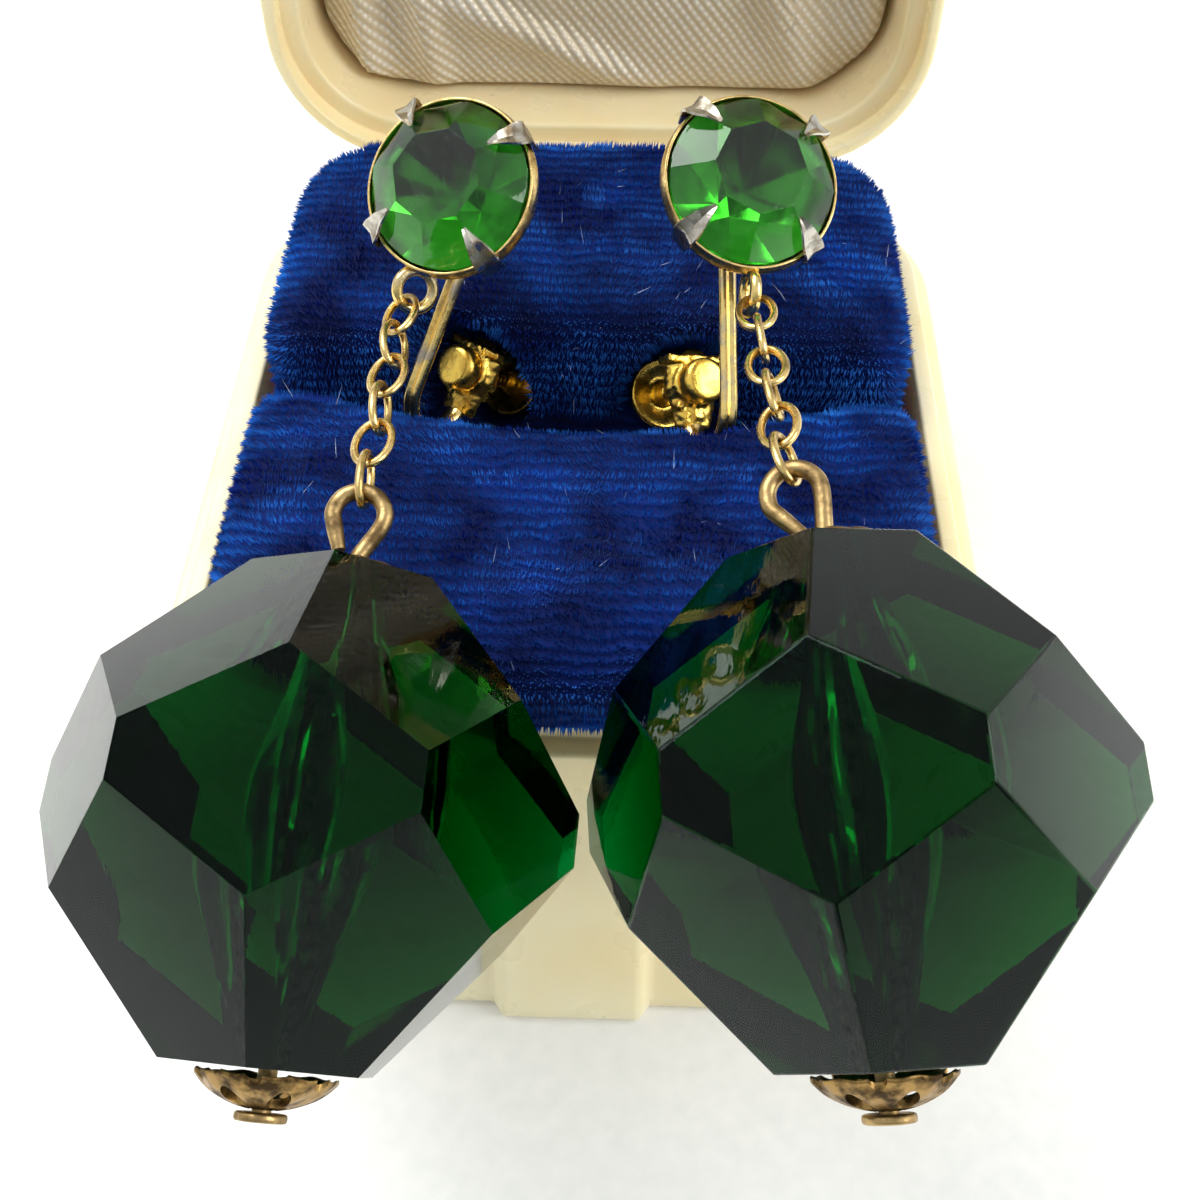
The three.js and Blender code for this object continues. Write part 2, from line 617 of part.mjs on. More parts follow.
// The bead's body, grown on every side by a margin, from its facets' distances and slopes
function makeBeadBody(margin) {
  const flat = BEAD_ACROSS_FLATS / 2 + margin;
  const step = Math.PI / BEAD_SIDES;
  const rise = THREE.MathUtils.degToRad(BEAD_FACET_DEG);
  const facet = (BEAD_FACET_SHARE * BEAD_ACROSS_FLATS) / 2 + margin;
  const corner = flat / Math.cos(step);
  const around = (radius, angle, z) => new THREE.Vector3(radius * Math.cos(angle), radius * Math.sin(angle), z);
  const ridgeZ = (facet - flat * Math.cos(step) * Math.cos(rise)) / Math.sin(rise);
  const edgeZ = (facet - corner * Math.cos(rise)) / Math.sin(rise);
  const tableZ = BEAD_HEIGHT / 2 + margin;
  const tableCorner = (facet - tableZ * Math.sin(rise)) / (Math.cos(step) * Math.cos(rise));
  const points = [];
  for (let i = 0; i < BEAD_SIDES; i++) {
    const onFlat = 2 * step * i - Math.PI / 2;
    const onCorner = onFlat + step;
    for (const up of [-1, 1]) {
      points.push(around(flat, onFlat, up * ridgeZ));
      points.push(around(corner, onCorner, up * edgeZ));
      points.push(around(tableCorner, onFlat, up * tableZ));
    }
  }
  return new ConvexGeometry(points);
}

// A pierced cap, domed away from the bead, with its rim on the plane z = 0
function makeCap(rise) {
  const t = CAP_THICKNESS;
  const hole = PIN_RADIUS + PIN_CLEARANCE;
  const dome = turned(
    [
      [hole, rise],
      [0.45 * CAP_RADIUS, 0.86 * rise],
      [0.8 * CAP_RADIUS, 0.42 * rise],
      [CAP_RADIUS, 0],
      [CAP_RADIUS, 0.5 * t],
      [0.8 * CAP_RADIUS, 0.42 * rise + t],
      [0.45 * CAP_RADIUS, 0.86 * rise + t],
      [hole, rise + t],
      [hole, rise],
    ],
    CUP_SIDES,
  );
  const holes = Array.from({ length: CAP_HOLES }, (_, i) =>
    rodZ(0.15 * CAP_RADIUS, 6 * (rise + t), 8)
      .scale(1.5, 1, 1)
      .translate(0.62 * CAP_RADIUS, 0, 0)
      .rotateZ((2 * Math.PI * i) / CAP_HOLES),
  );
  const notches = Array.from({ length: CAP_HOLES }, (_, i) =>
    rodZ(0.13 * CAP_RADIUS, 6 * (rise + t), 6)
      .translate(1.02 * CAP_RADIUS, 0, 0)
      .rotateZ((2 * Math.PI * (i + 0.5)) / CAP_HOLES),
  );
  return cut(dome, ...holes, ...notches);
}

// The headpin: a head under the bottom cap, the pin, and a teardrop eye above the top cap
function makeHeadpin(eyeLean) {
  const top = BEAD_HEIGHT / 2 + CAP_GAP + TOP_CAP_RISE + CAP_THICKNESS;
  const bottom = -BEAD_HEIGHT / 2 - 2 * CAP_GAP - BOTTOM_CAP_RISE - CAP_THICKNESS;
  const lean = THREE.MathUtils.degToRad(eyeLean);
  const foot = new THREE.Vector3(0, 0, top);
  const leaning = (x, height) =>
    new THREE.Vector3(x, 0, height).applyAxisAngle(new THREE.Vector3(0, 1, 0), lean).add(foot);
  const eyeOffset = 0.25 * EYE_RADIUS;
  const round = [200, 160, 120, 80, 40, 0, -35].map((deg) => {
    const a = THREE.MathUtils.degToRad(deg);
    return leaning(eyeOffset + EYE_RADIUS * Math.cos(a), EYE_HEIGHT + EYE_RADIUS * Math.sin(a));
  });
  const path = new THREE.CatmullRomCurve3([
    new THREE.Vector3(0, 0, top - 0.33 * EYE_HEIGHT),
    leaning(-0.1 * EYE_RADIUS, 0.13 * EYE_HEIGHT),
    ...round,
    leaning(0.65 * EYE_RADIUS, 0.25 * EYE_HEIGHT),
  ]);
  const eye = wire(path, PIN_RADIUS, PIN_RADIUS, WIRE_SIDES, 26);
  const pinTop = top - 0.27 * EYE_HEIGHT;
  const pin = rodZ(PIN_RADIUS, pinTop - bottom, WIRE_SIDES).translate(0, 0, (pinTop + bottom) / 2);
  const headZ = bottom + SOLDER / 2 - PIN_HEAD_THICKNESS / 2;
  const head = rodZ(PIN_HEAD_RADIUS, PIN_HEAD_THICKNESS, 14).translate(0, 0, headZ);
  return {
    geometry: join(eye, pin, head),
    centre: leaning(eyeOffset, EYE_HEIGHT),
    normal: new THREE.Vector3(0, 1, 0),
  };
}

// One oval link, long along X, flat in the XY plane
class Oval extends THREE.Curve {
  constructor(halfLength, halfWidth) {
    super();
    this.halfLength = halfLength;
    this.halfWidth = halfWidth;
  }
  getPoint(t, target = new THREE.Vector3()) {
    const a = 2 * Math.PI * t;
    return target.set(this.halfLength * Math.cos(a), this.halfWidth * Math.sin(a), 0);
  }
}

function makeLink(centreLength) {
  const oval = new Oval(centreLength / 2, (LINK_WIDTH - LINK_WIRE) / 2);
  return new THREE.TubeGeometry(oval, LINK_STEPS, LINK_WIRE / 2, LINK_SIDES, true);
}

// A ring's centre and normal, carried along with the piece that it belongs to
function placed(ring, piece) {
  return {
    centre: ring.centre.clone().applyMatrix4(piece.matrix),
    normal: ring.normal.clone().transformDirection(piece.matrix),
  };
}

// The point of a ring's centre line that lies furthest along a direction
function ringPoint(ring, radius, direction) {
  const inPlane = direction.clone().projectOnPlane(ring.normal).normalize();
  return ring.centre.clone().addScaledVector(inPlane, radius);
}

// The chain: each link hooks through the one before it, from the lug to the headpin's eye
function makeChain(lug, eye, rollsDeg) {
  const towardsEye = eye.centre.clone().sub(lug.centre).normalize();
  const from = ringPoint(lug, LUG_RADIUS, towardsEye);
  const to = ringPoint(eye, EYE_RADIUS, towardsEye.clone().negate());
  const along = to.clone().sub(from).normalize();
  const start = -(LUG_WIRE / 2 + LINK_WIRE / 2 + LINK_GAP);
  const end = from.distanceTo(to) + PIN_RADIUS + LINK_WIRE / 2 + LINK_GAP;
  const hook = LINK_WIRE + LINK_GAP;
  const centreLength = (end - start + (LINK_COUNT - 1) * hook) / LINK_COUNT;
  const flat = new THREE.Vector3(1, 0, 0).cross(along).normalize();
  const facingUp = new THREE.Quaternion().setFromRotationMatrix(
    new THREE.Matrix4().makeBasis(along, flat.clone().cross(along), flat),
  );
  const spin = new THREE.Quaternion();
  return rollsDeg.slice(0, LINK_COUNT).map((rollDeg, i) => {
    const link = new THREE.Mesh(makeLink(centreLength), goldPlate);
    spin.setFromAxisAngle(new THREE.Vector3(1, 0, 0), THREE.MathUtils.degToRad(rollDeg));
    link.quaternion.copy(facingUp).multiply(spin);
    link.position.copy(from).addScaledVector(along, start + centreLength / 2 + i * (centreLength - hook));
    return link;
  });
}

// Turns that lay a piece with +Z along a tilted normal: up from the horizontal, then round
function facing(tiltUp, turn, roll) {
  const deg = THREE.MathUtils.degToRad;
  const about = (x, y, z, angle) =>
    new THREE.Quaternion().setFromAxisAngle(new THREE.Vector3(x, y, z), deg(angle));
  return about(0, 0, 1, turn).multiply(about(1, 0, 0, 90 - tiltUp)).multiply(about(0, 0, 1, roll));
}

function makeEarring(lie) {
  const group = new THREE.Group();
  const pieceName = (piece) => `${piece}_${lie.side}`;

  const fitting = new THREE.Group();
  fitting.position.set(
    lie.stone.across * BOX_WIDTH,
    SLOT_Y + lie.stone.behindSlot * BOX_DEPTH,
    (1 + lie.stone.aboveLip) * BASE_HEIGHT,
  );
  fitting.quaternion.copy(facing(lie.tiltUp, lie.turn, lie.roll));
  const cup = makeCup(lie.clawTurn);
  const lug = makeLug(lie.lugTurn);
  const earFrame = new THREE.Group();
  earFrame.position.z = cup.floorZ - EAR_WIRE_DEPTH / 2 + SOLDER;
  earFrame.rotation.y = THREE.MathUtils.degToRad(lie.wireTurn);
  earFrame.rotation.x = THREE.MathUtils.degToRad(lie.wireTilt);
  earFrame.updateMatrix();
  const earWire = makeEarWire().applyMatrix4(earFrame.matrix);
  const stone = makeStone().rotateZ(THREE.MathUtils.degToRad(lie.clawTurn));
  const screw = named(pieceName('ear_screw'), makeScrew(), goldPlate);
  const earPad = named(pieceName('ear_pad'), makeEarPad(), goldPlate);
  for (const piece of [screw, earPad]) {
    piece.position.y = -SCREW_DROP;
    earFrame.add(piece);
  }
  fitting.add(named(pieceName('stone'), stone, greenGlass));
  fitting.add(named(pieceName('ear_fitting'), join(cup.geometry, earWire, lug.geometry), goldPlate));
  fitting.add(earFrame);
  fitting.updateMatrix();
  group.add(fitting);
  const pocket = makePocket().applyMatrix4(earFrame.matrix).applyMatrix4(fitting.matrix);

  const drop = new THREE.Group();
  drop.position.set(
    lie.bead.across * BOX_WIDTH,
    (-0.5 - lie.bead.inFront) * BOX_DEPTH,
    (1 + lie.bead.aboveLip) * BASE_HEIGHT,
  );
  drop.quaternion.copy(facing(lie.beadPitch, 180 - lie.beadTurn, lie.beadRoll));
  const headpin = makeHeadpin(lie.eyeLean);
  const topCap = makeCap(TOP_CAP_RISE).translate(0, 0, BEAD_HEIGHT / 2 + CAP_GAP);
  const bottomCap = makeCap(BOTTOM_CAP_RISE).rotateX(Math.PI).translate(0, 0, -BEAD_HEIGHT / 2 - CAP_GAP);
  const bore = rodZ(PIN_RADIUS + PIN_CLEARANCE, 2 * BEAD_HEIGHT);
  drop.add(named(pieceName('bead'), cut(makeBeadBody(0), bore), greenAcrylic));
  drop.add(named(pieceName('cap_top'), topCap, agedBrass));
  drop.add(named(pieceName('cap_bottom'), bottomCap, agedBrass));
  drop.add(named(pieceName('headpin'), headpin.geometry, goldPlate));
  drop.updateMatrix();
  group.add(drop);
  const dent = makeBeadBody(FIT_GAP).applyMatrix4(drop.matrix);

  const chain = makeChain(placed(lug, fitting), placed(headpin, drop), lie.linkRolls);
  chain.forEach((link, i) => {
    link.name = pieceName(`link_${i + 1}`);
    group.add(link);
  });
  return { group, pocket, dent };
}

const earrings = EARRINGS.map(makeEarring);
const pockets = earrings.map((earring) => earring.pocket);
const dents = earrings.map((earring) => earring.dent);

const object = new THREE.Group();
object.add(makeBase());
object.add(makeLid());
const hingePin = rodX(HINGE_PIN_RADIUS, 3 * KNUCKLE_LENGTH).translate(0, hingeY, partingZ);
object.add(named('hinge_pin', hingePin, steel));

const frontPad = makePadBody({
  frontY: -innerHalfDepth + PAD_SIDE_INSET,
  backY: SLOT_Y - SLOT_WIDTH / 2,
  topZ: BASE_HEIGHT + PAD_HEIGHT_FRONT,
  pressFront: 0,
  pressBack: SLOT_BOW_FRONT,
  overhang: PAD_OVERHANG,
  frontRadius: padCornerRadius,
  backRadius: PAD_ROUNDING,
});
const backPad = makePadBody({
  frontY: SLOT_Y + SLOT_WIDTH / 2,
  backY: innerHalfDepth - PAD_SIDE_INSET,
  topZ: BASE_HEIGHT + PAD_HEIGHT_BACK,
  pressFront: SLOT_BOW_BACK,
  pressBack: 0,
  overhang: 0,
  frontRadius: PAD_ROUNDING,
  backRadius: padCornerRadius,
});
object.add(named('pad_front', cut(frontPad, ...pockets, ...dents), blueVelvet));
object.add(named('pad_back', cut(backPad, ...pockets), blueVelvet));
for (const { group } of earrings) object.add(group);

export default object;
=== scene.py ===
# %% [markdown]
# # A pair of drop earrings in a ring box
# The real thing is a moulded ring box, open, with two velvet pads and a satin lining. A pair of
# screw-back earrings is pushed into the slot between the pads, and their big faceted beads hang
# over the front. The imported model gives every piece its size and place. This lesson dresses it:
# each soft or smooth piece is made again with more form, and each surface gets a material that is
# named for what it really is. All sizes are written in millimetres and turned to metres once.

import json
import math

import bmesh
import bpy
import numpy as np
from mathutils import Matrix, Quaternion, Vector, noise
from mathutils.bvhtree import BVHTree

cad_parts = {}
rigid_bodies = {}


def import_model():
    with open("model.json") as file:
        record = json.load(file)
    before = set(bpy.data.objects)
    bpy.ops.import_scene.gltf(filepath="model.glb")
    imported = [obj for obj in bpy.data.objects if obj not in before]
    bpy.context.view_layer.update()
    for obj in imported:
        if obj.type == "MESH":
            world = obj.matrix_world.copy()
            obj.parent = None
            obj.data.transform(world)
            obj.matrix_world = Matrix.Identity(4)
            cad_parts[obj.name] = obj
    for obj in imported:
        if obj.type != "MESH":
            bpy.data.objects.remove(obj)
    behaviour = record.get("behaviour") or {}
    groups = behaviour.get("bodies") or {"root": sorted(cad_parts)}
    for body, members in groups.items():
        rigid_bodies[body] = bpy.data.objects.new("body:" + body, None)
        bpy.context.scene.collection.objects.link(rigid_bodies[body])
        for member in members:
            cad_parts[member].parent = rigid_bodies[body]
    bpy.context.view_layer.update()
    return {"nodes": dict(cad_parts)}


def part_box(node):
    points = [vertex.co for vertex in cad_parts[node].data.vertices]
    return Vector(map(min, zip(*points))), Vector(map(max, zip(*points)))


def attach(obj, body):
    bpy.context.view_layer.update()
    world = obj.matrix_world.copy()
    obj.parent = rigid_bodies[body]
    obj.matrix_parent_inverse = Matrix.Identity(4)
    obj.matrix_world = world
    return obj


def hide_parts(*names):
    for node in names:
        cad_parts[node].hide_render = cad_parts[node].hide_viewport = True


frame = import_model()
nodes = frame["nodes"]
MM = 0.001
print("nodes:", len(nodes))

# %% [markdown]
# ## Camera
# The photograph looks down at the open box from just in front of it, close enough for strong
# perspective. A real camera's place, pitch and focal length are set directly, because a helper
# that aims at a point would lose the small turn that the photograph has.

# %% Camera
CAMERA_PLACE = (3.3, -73.3, 98.2)
CAMERA_PITCH_DEG = 52
CAMERA_TURN_DEG = 1.8
CAMERA_LENS = 42

camera_data = bpy.data.cameras.new("camera")
camera = bpy.data.objects.new("camera", camera_data)
bpy.context.scene.collection.objects.link(camera)
camera.location = Vector(CAMERA_PLACE) * MM
camera.rotation_euler = (math.radians(90 - CAMERA_PITCH_DEG), 0, math.radians(CAMERA_TURN_DEG))
camera_data.lens = CAMERA_LENS
camera_data.clip_start = 2 * MM
camera_data.clip_end = 5
bpy.context.scene.camera = camera
print("camera at", CAMERA_PLACE, "mm")

# %% [markdown]
# ## Sizes
# These repeat the driving dimensions of the solids that a finished piece has to fit. What can be
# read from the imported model, such as a link's place, is read from it instead.

# %% Sizes of the box
BOX_WIDTH = 54
BOX_DEPTH = 56
BASE_HEIGHT = 26
LID_HEIGHT = 19
CORNER_RADIUS = 11
FOOT_FLARE = 6
WALL = 2.6
FLOOR_THICKNESS = 2.5
LIP_HEIGHT = 1.5
LIP_INSET = 1.3
TAB_WIDTH = 10.5
TAB_PROUD = 1.1
LID_CEILING = 3
LID_OPEN_DEG = 95
FIT_GAP = 0.3
KNUCKLE_RADIUS = 1.7
KNUCKLE_LENGTH = 8
KNUCKLE_GAP = 0.4
HINGE_PIN_RADIUS = 0.7
HINGE_BORE_RADIUS = 0.9
PARTING_Z = BASE_HEIGHT - LIP_HEIGHT
HINGE_Y = BOX_DEPTH / 2 + KNUCKLE_RADIUS + FIT_GAP

# %% Sizes of the earrings
SLOT_Y = -1.5
STONE_RADIUS = 5.35
TABLE_SHARE = 0.52
CROWN_HEIGHT = 2.3
PAVILION_HEIGHT = 4.2
CUP_INNER = STONE_RADIUS + 0.15
CUP_WALL = 0.35
CUP_FLOOR_GAP = 0.7
CUP_SHOULDER = 0.9
CUP_RIM = 0.1
CLAW_COUNT = 4
CLAW_WIDTH = 1.7
CLAW_REACH = 1.7
LUG_RADIUS = 1.25
LUG_WIRE = 0.75
LUG_DEPTH = 1.3
EAR_WIRE_WIDTH = 1.3
EAR_WIRE_DEPTH = 0.95
EAR_WIRE_TOP = 1.2
EAR_WIRE_DROP = 15.5
EAR_GAP = 5.8
SOLDER = 0.1
SCREW_DROP = 10.6
SCREW_RADIUS = 0.65
SCREW_CLEARANCE = 0.2
THREAD_PITCH = 0.5
BARREL_RADIUS = 1.7
BARREL_LENGTH = 2
BUMP_RADIUS = 1.1
PADDLE_HALF_WIDTH = 1.9
PADDLE_THICKNESS = 1.6
EAR_PAD_RADIUS = 1.6
EAR_PAD_THICKNESS = 1.3
EAR_PAD_WALL = 0.3
BALL_RADIUS = 0.95
THUMB_DISC_RADIUS = 2.6
THUMB_DISC_EDGE = 0.45
THUMB_DISC_DISH = 0.5
THUMB_DISC_OUT = 4.2
LINK_WIRE = 0.5
PIN_RADIUS = 0.48
PIN_CLEARANCE = 0.3
EYE_RADIUS = 1.45
EYE_HEIGHT = 3
PIN_HEAD_RADIUS = 1.3
PIN_HEAD_THICKNESS = 0.45
BEAD_HEIGHT = 25.2
CAP_RADIUS = 3.5
CAP_THICKNESS = 0.4
TOP_CAP_RISE = 0.5
BOTTOM_CAP_RISE = 1.3
CAP_GAP = 0.2
CAP_HOLES = 6

# Each stone and bead is placed by shares of the box's width, depth and base height.
EARRINGS = [
    dict(
        side="left",
        stone=(-0.16111, 0.064286, 0.69615),
        tilt_up=50,
        turn=-24,
        roll=-5,
        claw_turn=8,
        wire_turn=-12,
        wire_tilt=6,
        bead=(-0.23704, 0.175, 0.31538),
        bead_pitch=19,
        bead_turn=4.2,
        bead_roll=4,
        eye_lean=-5,
        lug_turn=50,
    ),
    dict(
        side="right",
        stone=(0.19444, 0.066071, 0.72308),
        tilt_up=56,
        turn=22,
        roll=-15,
        claw_turn=-6,
        wire_turn=10,
        wire_tilt=6,
        bead=(0.27407, 0.17857, 0.43846),
        bead_pitch=21.7,
        bead_turn=-5.5,
        bead_roll=-18,
        eye_lean=20,
        lug_turn=90,
    ),
]


def facing(tilt_up, turn, roll):
    """Turns +Z to a tilted normal: up from the horizontal, then round, after a roll about itself."""
    about_z = Quaternion((0, 0, 1), math.radians(turn))
    about_x = Quaternion((1, 0, 0), math.radians(90 - tilt_up))
    return (about_z @ about_x @ Quaternion((0, 0, 1), math.radians(roll))).to_matrix().to_4x4()


def fitting_place(lie):
    across, behind_slot, above_lip = lie["stone"]
    y = SLOT_Y + behind_slot * BOX_DEPTH
    place = Matrix.Translation((across * BOX_WIDTH, y, (1 + above_lip) * BASE_HEIGHT))
    return place @ facing(lie["tilt_up"], lie["turn"], lie["roll"])


CUP_FLOOR_Z = -PAVILION_HEIGHT - CUP_FLOOR_GAP - CUP_WALL


def ear_wire_place(lie):
    behind = Matrix.Translation((0, 0, CUP_FLOOR_Z - EAR_WIRE_DEPTH / 2 + SOLDER))
    tilt = Matrix.Rotation(math.radians(lie["wire_tilt"]), 4, "X")
    turn = Matrix.Rotation(math.radians(lie["wire_turn"]), 4, "Y")
    return fitting_place(lie) @ behind @ tilt @ turn


def drop_place(lie):
    across, in_front, above_lip = lie["bead"]
    y = (-0.5 - in_front) * BOX_DEPTH
    place = Matrix.Translation((across * BOX_WIDTH, y, (1 + above_lip) * BASE_HEIGHT))
    return place @ facing(lie["bead_pitch"], 180 - lie["bead_turn"], lie["bead_roll"])


for lie in EARRINGS:
    low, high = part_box(f"bead_{lie['side']}")
    off = ((low + high) / 2 / MM - drop_place(lie).translation).length
    print(f"{lie['side']} bead's middle is {off:.2f} mm from the middle of its solid's box")

# %% [markdown]
# ## Materials: how they are made
# A procedural material is a small tree of nodes. One function adds a node with its settings and
# what feeds it, so each material below reads as a list of what the eye sees: a colour, how it
# wanders, how rough it is and how it stands up. Textures read Object coordinates in metres, so a
# pattern's scale is one over its real size.

# %% Node helper and colours
def linear(hex_code):
    """An sRGB hex colour as linear red, green, blue and alpha."""
    channels = [int(hex_code[i : i + 2], 16) / 255 for i in (1, 3, 5)]
    return (*[c / 12.92 if c <= 0.04045 else ((c + 0.055) / 1.055) ** 2.4 for c in channels], 1)


def add_node(tree, kind, inputs=None, **settings):
    """Adds a node. Each input is a value, or another node's output that is linked to it."""
    added = tree.nodes.new(kind)
    for name, value in settings.items():
        setattr(added, name, value)
    for key, value in (inputs or {}).items():
        if isinstance(value, bpy.types.NodeSocket):
            tree.links.new(value, added.inputs[key])
        else:
            added.inputs[key].default_value = value
    return added


def new_material(name, **values):
    """A material with its Principled shader set to constant values, and the object's coordinates."""
    material = bpy.data.materials.new(name)
    material.use_nodes = True
    tree = material.node_tree
    shader = tree.nodes["Principled BSDF"]
    for socket, value in values.items():
        shader.inputs[socket.replace("_", " ")].default_value = value
    where = add_node(tree, "ShaderNodeTexCoord").outputs["Object"]
    return material, tree, shader, where


MIX_FACTOR, MIX_A, MIX_B, MIX_RESULT = 0, 6, 7, 2


def noise_amount(tree, where, size_mm, low, high, detail=4, stretch=(1, 1, 1)):
    """A noise of that size in millimetres, spread so that low gives 0 and high gives 1."""
    mapped = add_node(tree, "ShaderNodeMapping", {"Vector": where, "Scale": stretch}).outputs[0]
    texture = {"Vector": mapped, "Scale": 1 / (size_mm * MM), "Detail": detail}
    raw = add_node(tree, "ShaderNodeTexNoise", texture).outputs["Fac"]
    return add_node(tree, "ShaderNodeMapRange", {0: raw, 1: low, 2: high}).outputs[0]


def mixed(tree, factor, first, second):
    """A colour between two, each of them a hex colour or another node's output."""
    first = linear(first) if isinstance(first, str) else first
    second = linear(second) if isinstance(second, str) else second
    inputs = {MIX_FACTOR: factor, MIX_A: first, MIX_B: second}
    return add_node(tree, "ShaderNodeMix", inputs, data_type="RGBA").outputs[MIX_RESULT]


def spread(tree, factor, low, high):
    """A number that goes from low to high as the factor goes from 0 to 1."""
    return add_node(tree, "ShaderNodeMapRange", {0: factor, 3: low, 4: high}).outputs[0]


def raised(tree, shader, height, depth_mm, strength=1):
    """Bump on a shader: the height's 0 to 1 stands for that many millimetres."""
    inputs = {"Height": height, "Distance": depth_mm * MM, "Strength": strength}
    tree.links.new(add_node(tree, "ShaderNodeBump", inputs).outputs[0], shader.inputs["Normal"])


print("helpers ready")

# %% [markdown]
# ## The box's plastic
# Old ring boxes are moulded in ivory polystyrene. It is slightly translucent, so its edges glow
# warm, and age has yellowed it in soft patches. The skin is glossy but not a mirror, with a fine
# ripple from the mould, hairline scratches and a few brown specks moulded into it.

# %% Ivory polystyrene
def ivory_polystyrene():
    material, tree, shader, where = new_material(
        "moulded ivory polystyrene", Subsurface_Weight=0.3, Subsurface_Scale=2 * MM, IOR=1.59
    )
    shader.inputs["Subsurface Radius"].default_value = (1.0, 0.7, 0.35)
    aged = noise_amount(tree, where, 14, 0.42, 0.72, detail=3)
    base = mixed(tree, aged, "#fff0c8", "#fbe5ae")
    specks = add_node(tree, "ShaderNodeTexVoronoi", {"Vector": where, "Scale": 1 / (9 * MM)})
    is_speck = add_node(tree, "ShaderNodeMapRange", {0: specks.outputs["Distance"], 1: 0.03, 2: 0.018})
    tree.links.new(mixed(tree, is_speck.outputs[0], base, "#6b4a2a"), shader.inputs["Base Color"])
    worn = noise_amount(tree, where, 5, 0.35, 0.75)
    tree.links.new(spread(tree, worn, 0.24, 0.42), shader.inputs["Roughness"])
    ripple = noise_amount(tree, where, 2.5, 0.2, 0.8, detail=6)
    raised(tree, shader, ripple, 0.02, 0.6)
    return material


IVORY = ivory_polystyrene()
print(IVORY.name)

# %% [markdown]
# ## Velvet, satin and paper-white floor
# The pads wear royal blue nylon velvet. Its woven ground is painted almost navy, as painted shade under the
# pile, and the pile that stands on it is what shows, lighter where it leans towards the light; in its colour
# that is painted sheen in brushed patches, with painted shade between its rows. The lining is acetate satin
# with a diagonal rib, painted bright along the threads as painted sheen and darker between the ribs as
# painted shade. Sheen is the fine fuzz that catches light at an edge.

# %% Velvet ground and velvet pile
ROW_SPACING = 1.05  # millimetres between two woven rows of pile


def pile_rows(tree, where):
    """From 0 between two rows of pile to 1 on a row. Rows run across the box, over top and front."""
    parts = add_node(tree, "ShaderNodeSeparateXYZ", {0: where}).outputs
    over = add_node(tree, "ShaderNodeMath", {0: parts["Y"], 1: parts["Z"]}, operation="ADD").outputs[0]
    wander = add_node(tree, "ShaderNodeTexNoise", {"Vector": where, "Scale": 1 / (3 * MM)}).outputs[0]
    bent = add_node(tree, "ShaderNodeMath", {0: wander, 1: 9.0}, operation="MULTIPLY").outputs[0]
    turns = {0: over, 1: 2 * math.pi / (ROW_SPACING * MM), 2: bent}
    phase = add_node(tree, "ShaderNodeMath", turns, operation="MULTIPLY_ADD").outputs[0]
    wave = add_node(tree, "ShaderNodeMath", {0: phase}, operation="SINE").outputs[0]
    return add_node(tree, "ShaderNodeMapRange", {0: wave, 1: -1.0, 2: 1.0}).outputs[0]


def velvet(name, deep, light, sheen):
    material, tree, shader, where = new_material(
        name, Roughness=0.85, Sheen_Weight=sheen, Sheen_Roughness=0.3, Specular_IOR_Level=0.15
    )
    shader.inputs["Sheen Tint"].default_value = linear("#6fa4f2")
    # Painted light: the base colour is lighter and darker in brushed patches, painted sheen of the pile's
    # lean, and darker between the rows of pile, painted shade between them.
    painted_lean_sheen = noise_amount(tree, where, 5, 0.38, 0.66, detail=6, stretch=(1, 1, 0.6))
    rows = pile_rows(tree, where)
    on_rows = {0: painted_lean_sheen, 1: spread(tree, rows, 0.45, 1)}
    lit = add_node(tree, "ShaderNodeMath", on_rows, operation="MULTIPLY")
    tree.links.new(mixed(tree, lit.outputs[0], deep, light), shader.inputs["Base Color"])
    raised(tree, shader, rows, 0.15, 0.7)
    return material


# The ground's blues are darker than the pile's: painted shade under the pile.
VELVET_GROUND = velvet("nylon velvet ground", "#041040", "#0a2a78", 0.3)
VELVET_PILE = velvet("nylon velvet pile", "#06247a", "#2f84ea", 0.5)

# %% Satin
RIB_SPACING = 0.7  # millimetres between two ribs of the weave
THREAD_SPACING = 0.62


def acetate_satin():
    material, tree, shader, where = new_material(
        "acetate rib satin", Roughness=0.3, Metallic=0.1, Sheen_Weight=0.2, Sheen_Roughness=0.4
    )
    slanted = {"Vector": where, "Rotation": (0, math.radians(38), 0)}
    slant = add_node(tree, "ShaderNodeMapping", slanted).outputs[0]
    wave_scale = math.pi / (10 * RIB_SPACING * MM)
    ribs = {"Vector": slant, "Scale": wave_scale, "Distortion": 0.6, "Detail": 1, "Detail Scale": 1}
    rib = add_node(tree, "ShaderNodeTexWave", ribs, bands_direction="X").outputs["Fac"]
    across = {"Vector": slant, "Scale": math.pi / (10 * THREAD_SPACING * MM), "Distortion": 0.4}
    thread = add_node(tree, "ShaderNodeTexWave", across, bands_direction="Z").outputs["Fac"]
    # Painted light: the colour is darker between the ribs, painted shade, and lighter along them, painted
    # sheen; the same ribs also give the bump.
    crossed = {0: rib, 1: spread(tree, thread, 0.55, 1)}
    rib_shade_sheen_and_relief = add_node(tree, "ShaderNodeMath", crossed, operation="MULTIPLY").outputs[0]
    soiled = noise_amount(tree, where, 9, 0.35, 0.7)
    cloth = mixed(tree, soiled, "#fffaf0", "#efe4cc")
    tree.links.new(mixed(tree, rib_shade_sheen_and_relief, "#d0bf9f", cloth), shader.inputs["Base Color"])
    raised(tree, shader, rib_shade_sheen_and_relief, 0.16, 0.9)
    return material


SATIN = acetate_satin()
print(VELVET_GROUND.name, VELVET_PILE.name, SATIN.name, sep=", ")

# %% [markdown]
# ## Metals
# The fittings are brass with a thin gold plate, worn through to grey nickel where fingers touch
# them. The cup is a silver-toned stamping with brown tarnish in its folds. The headpin and the
# pierced caps are older brass with a coppery patina. Each metal starts from its own reflection
# colour, and noise at a few millimetres says where the wear is.

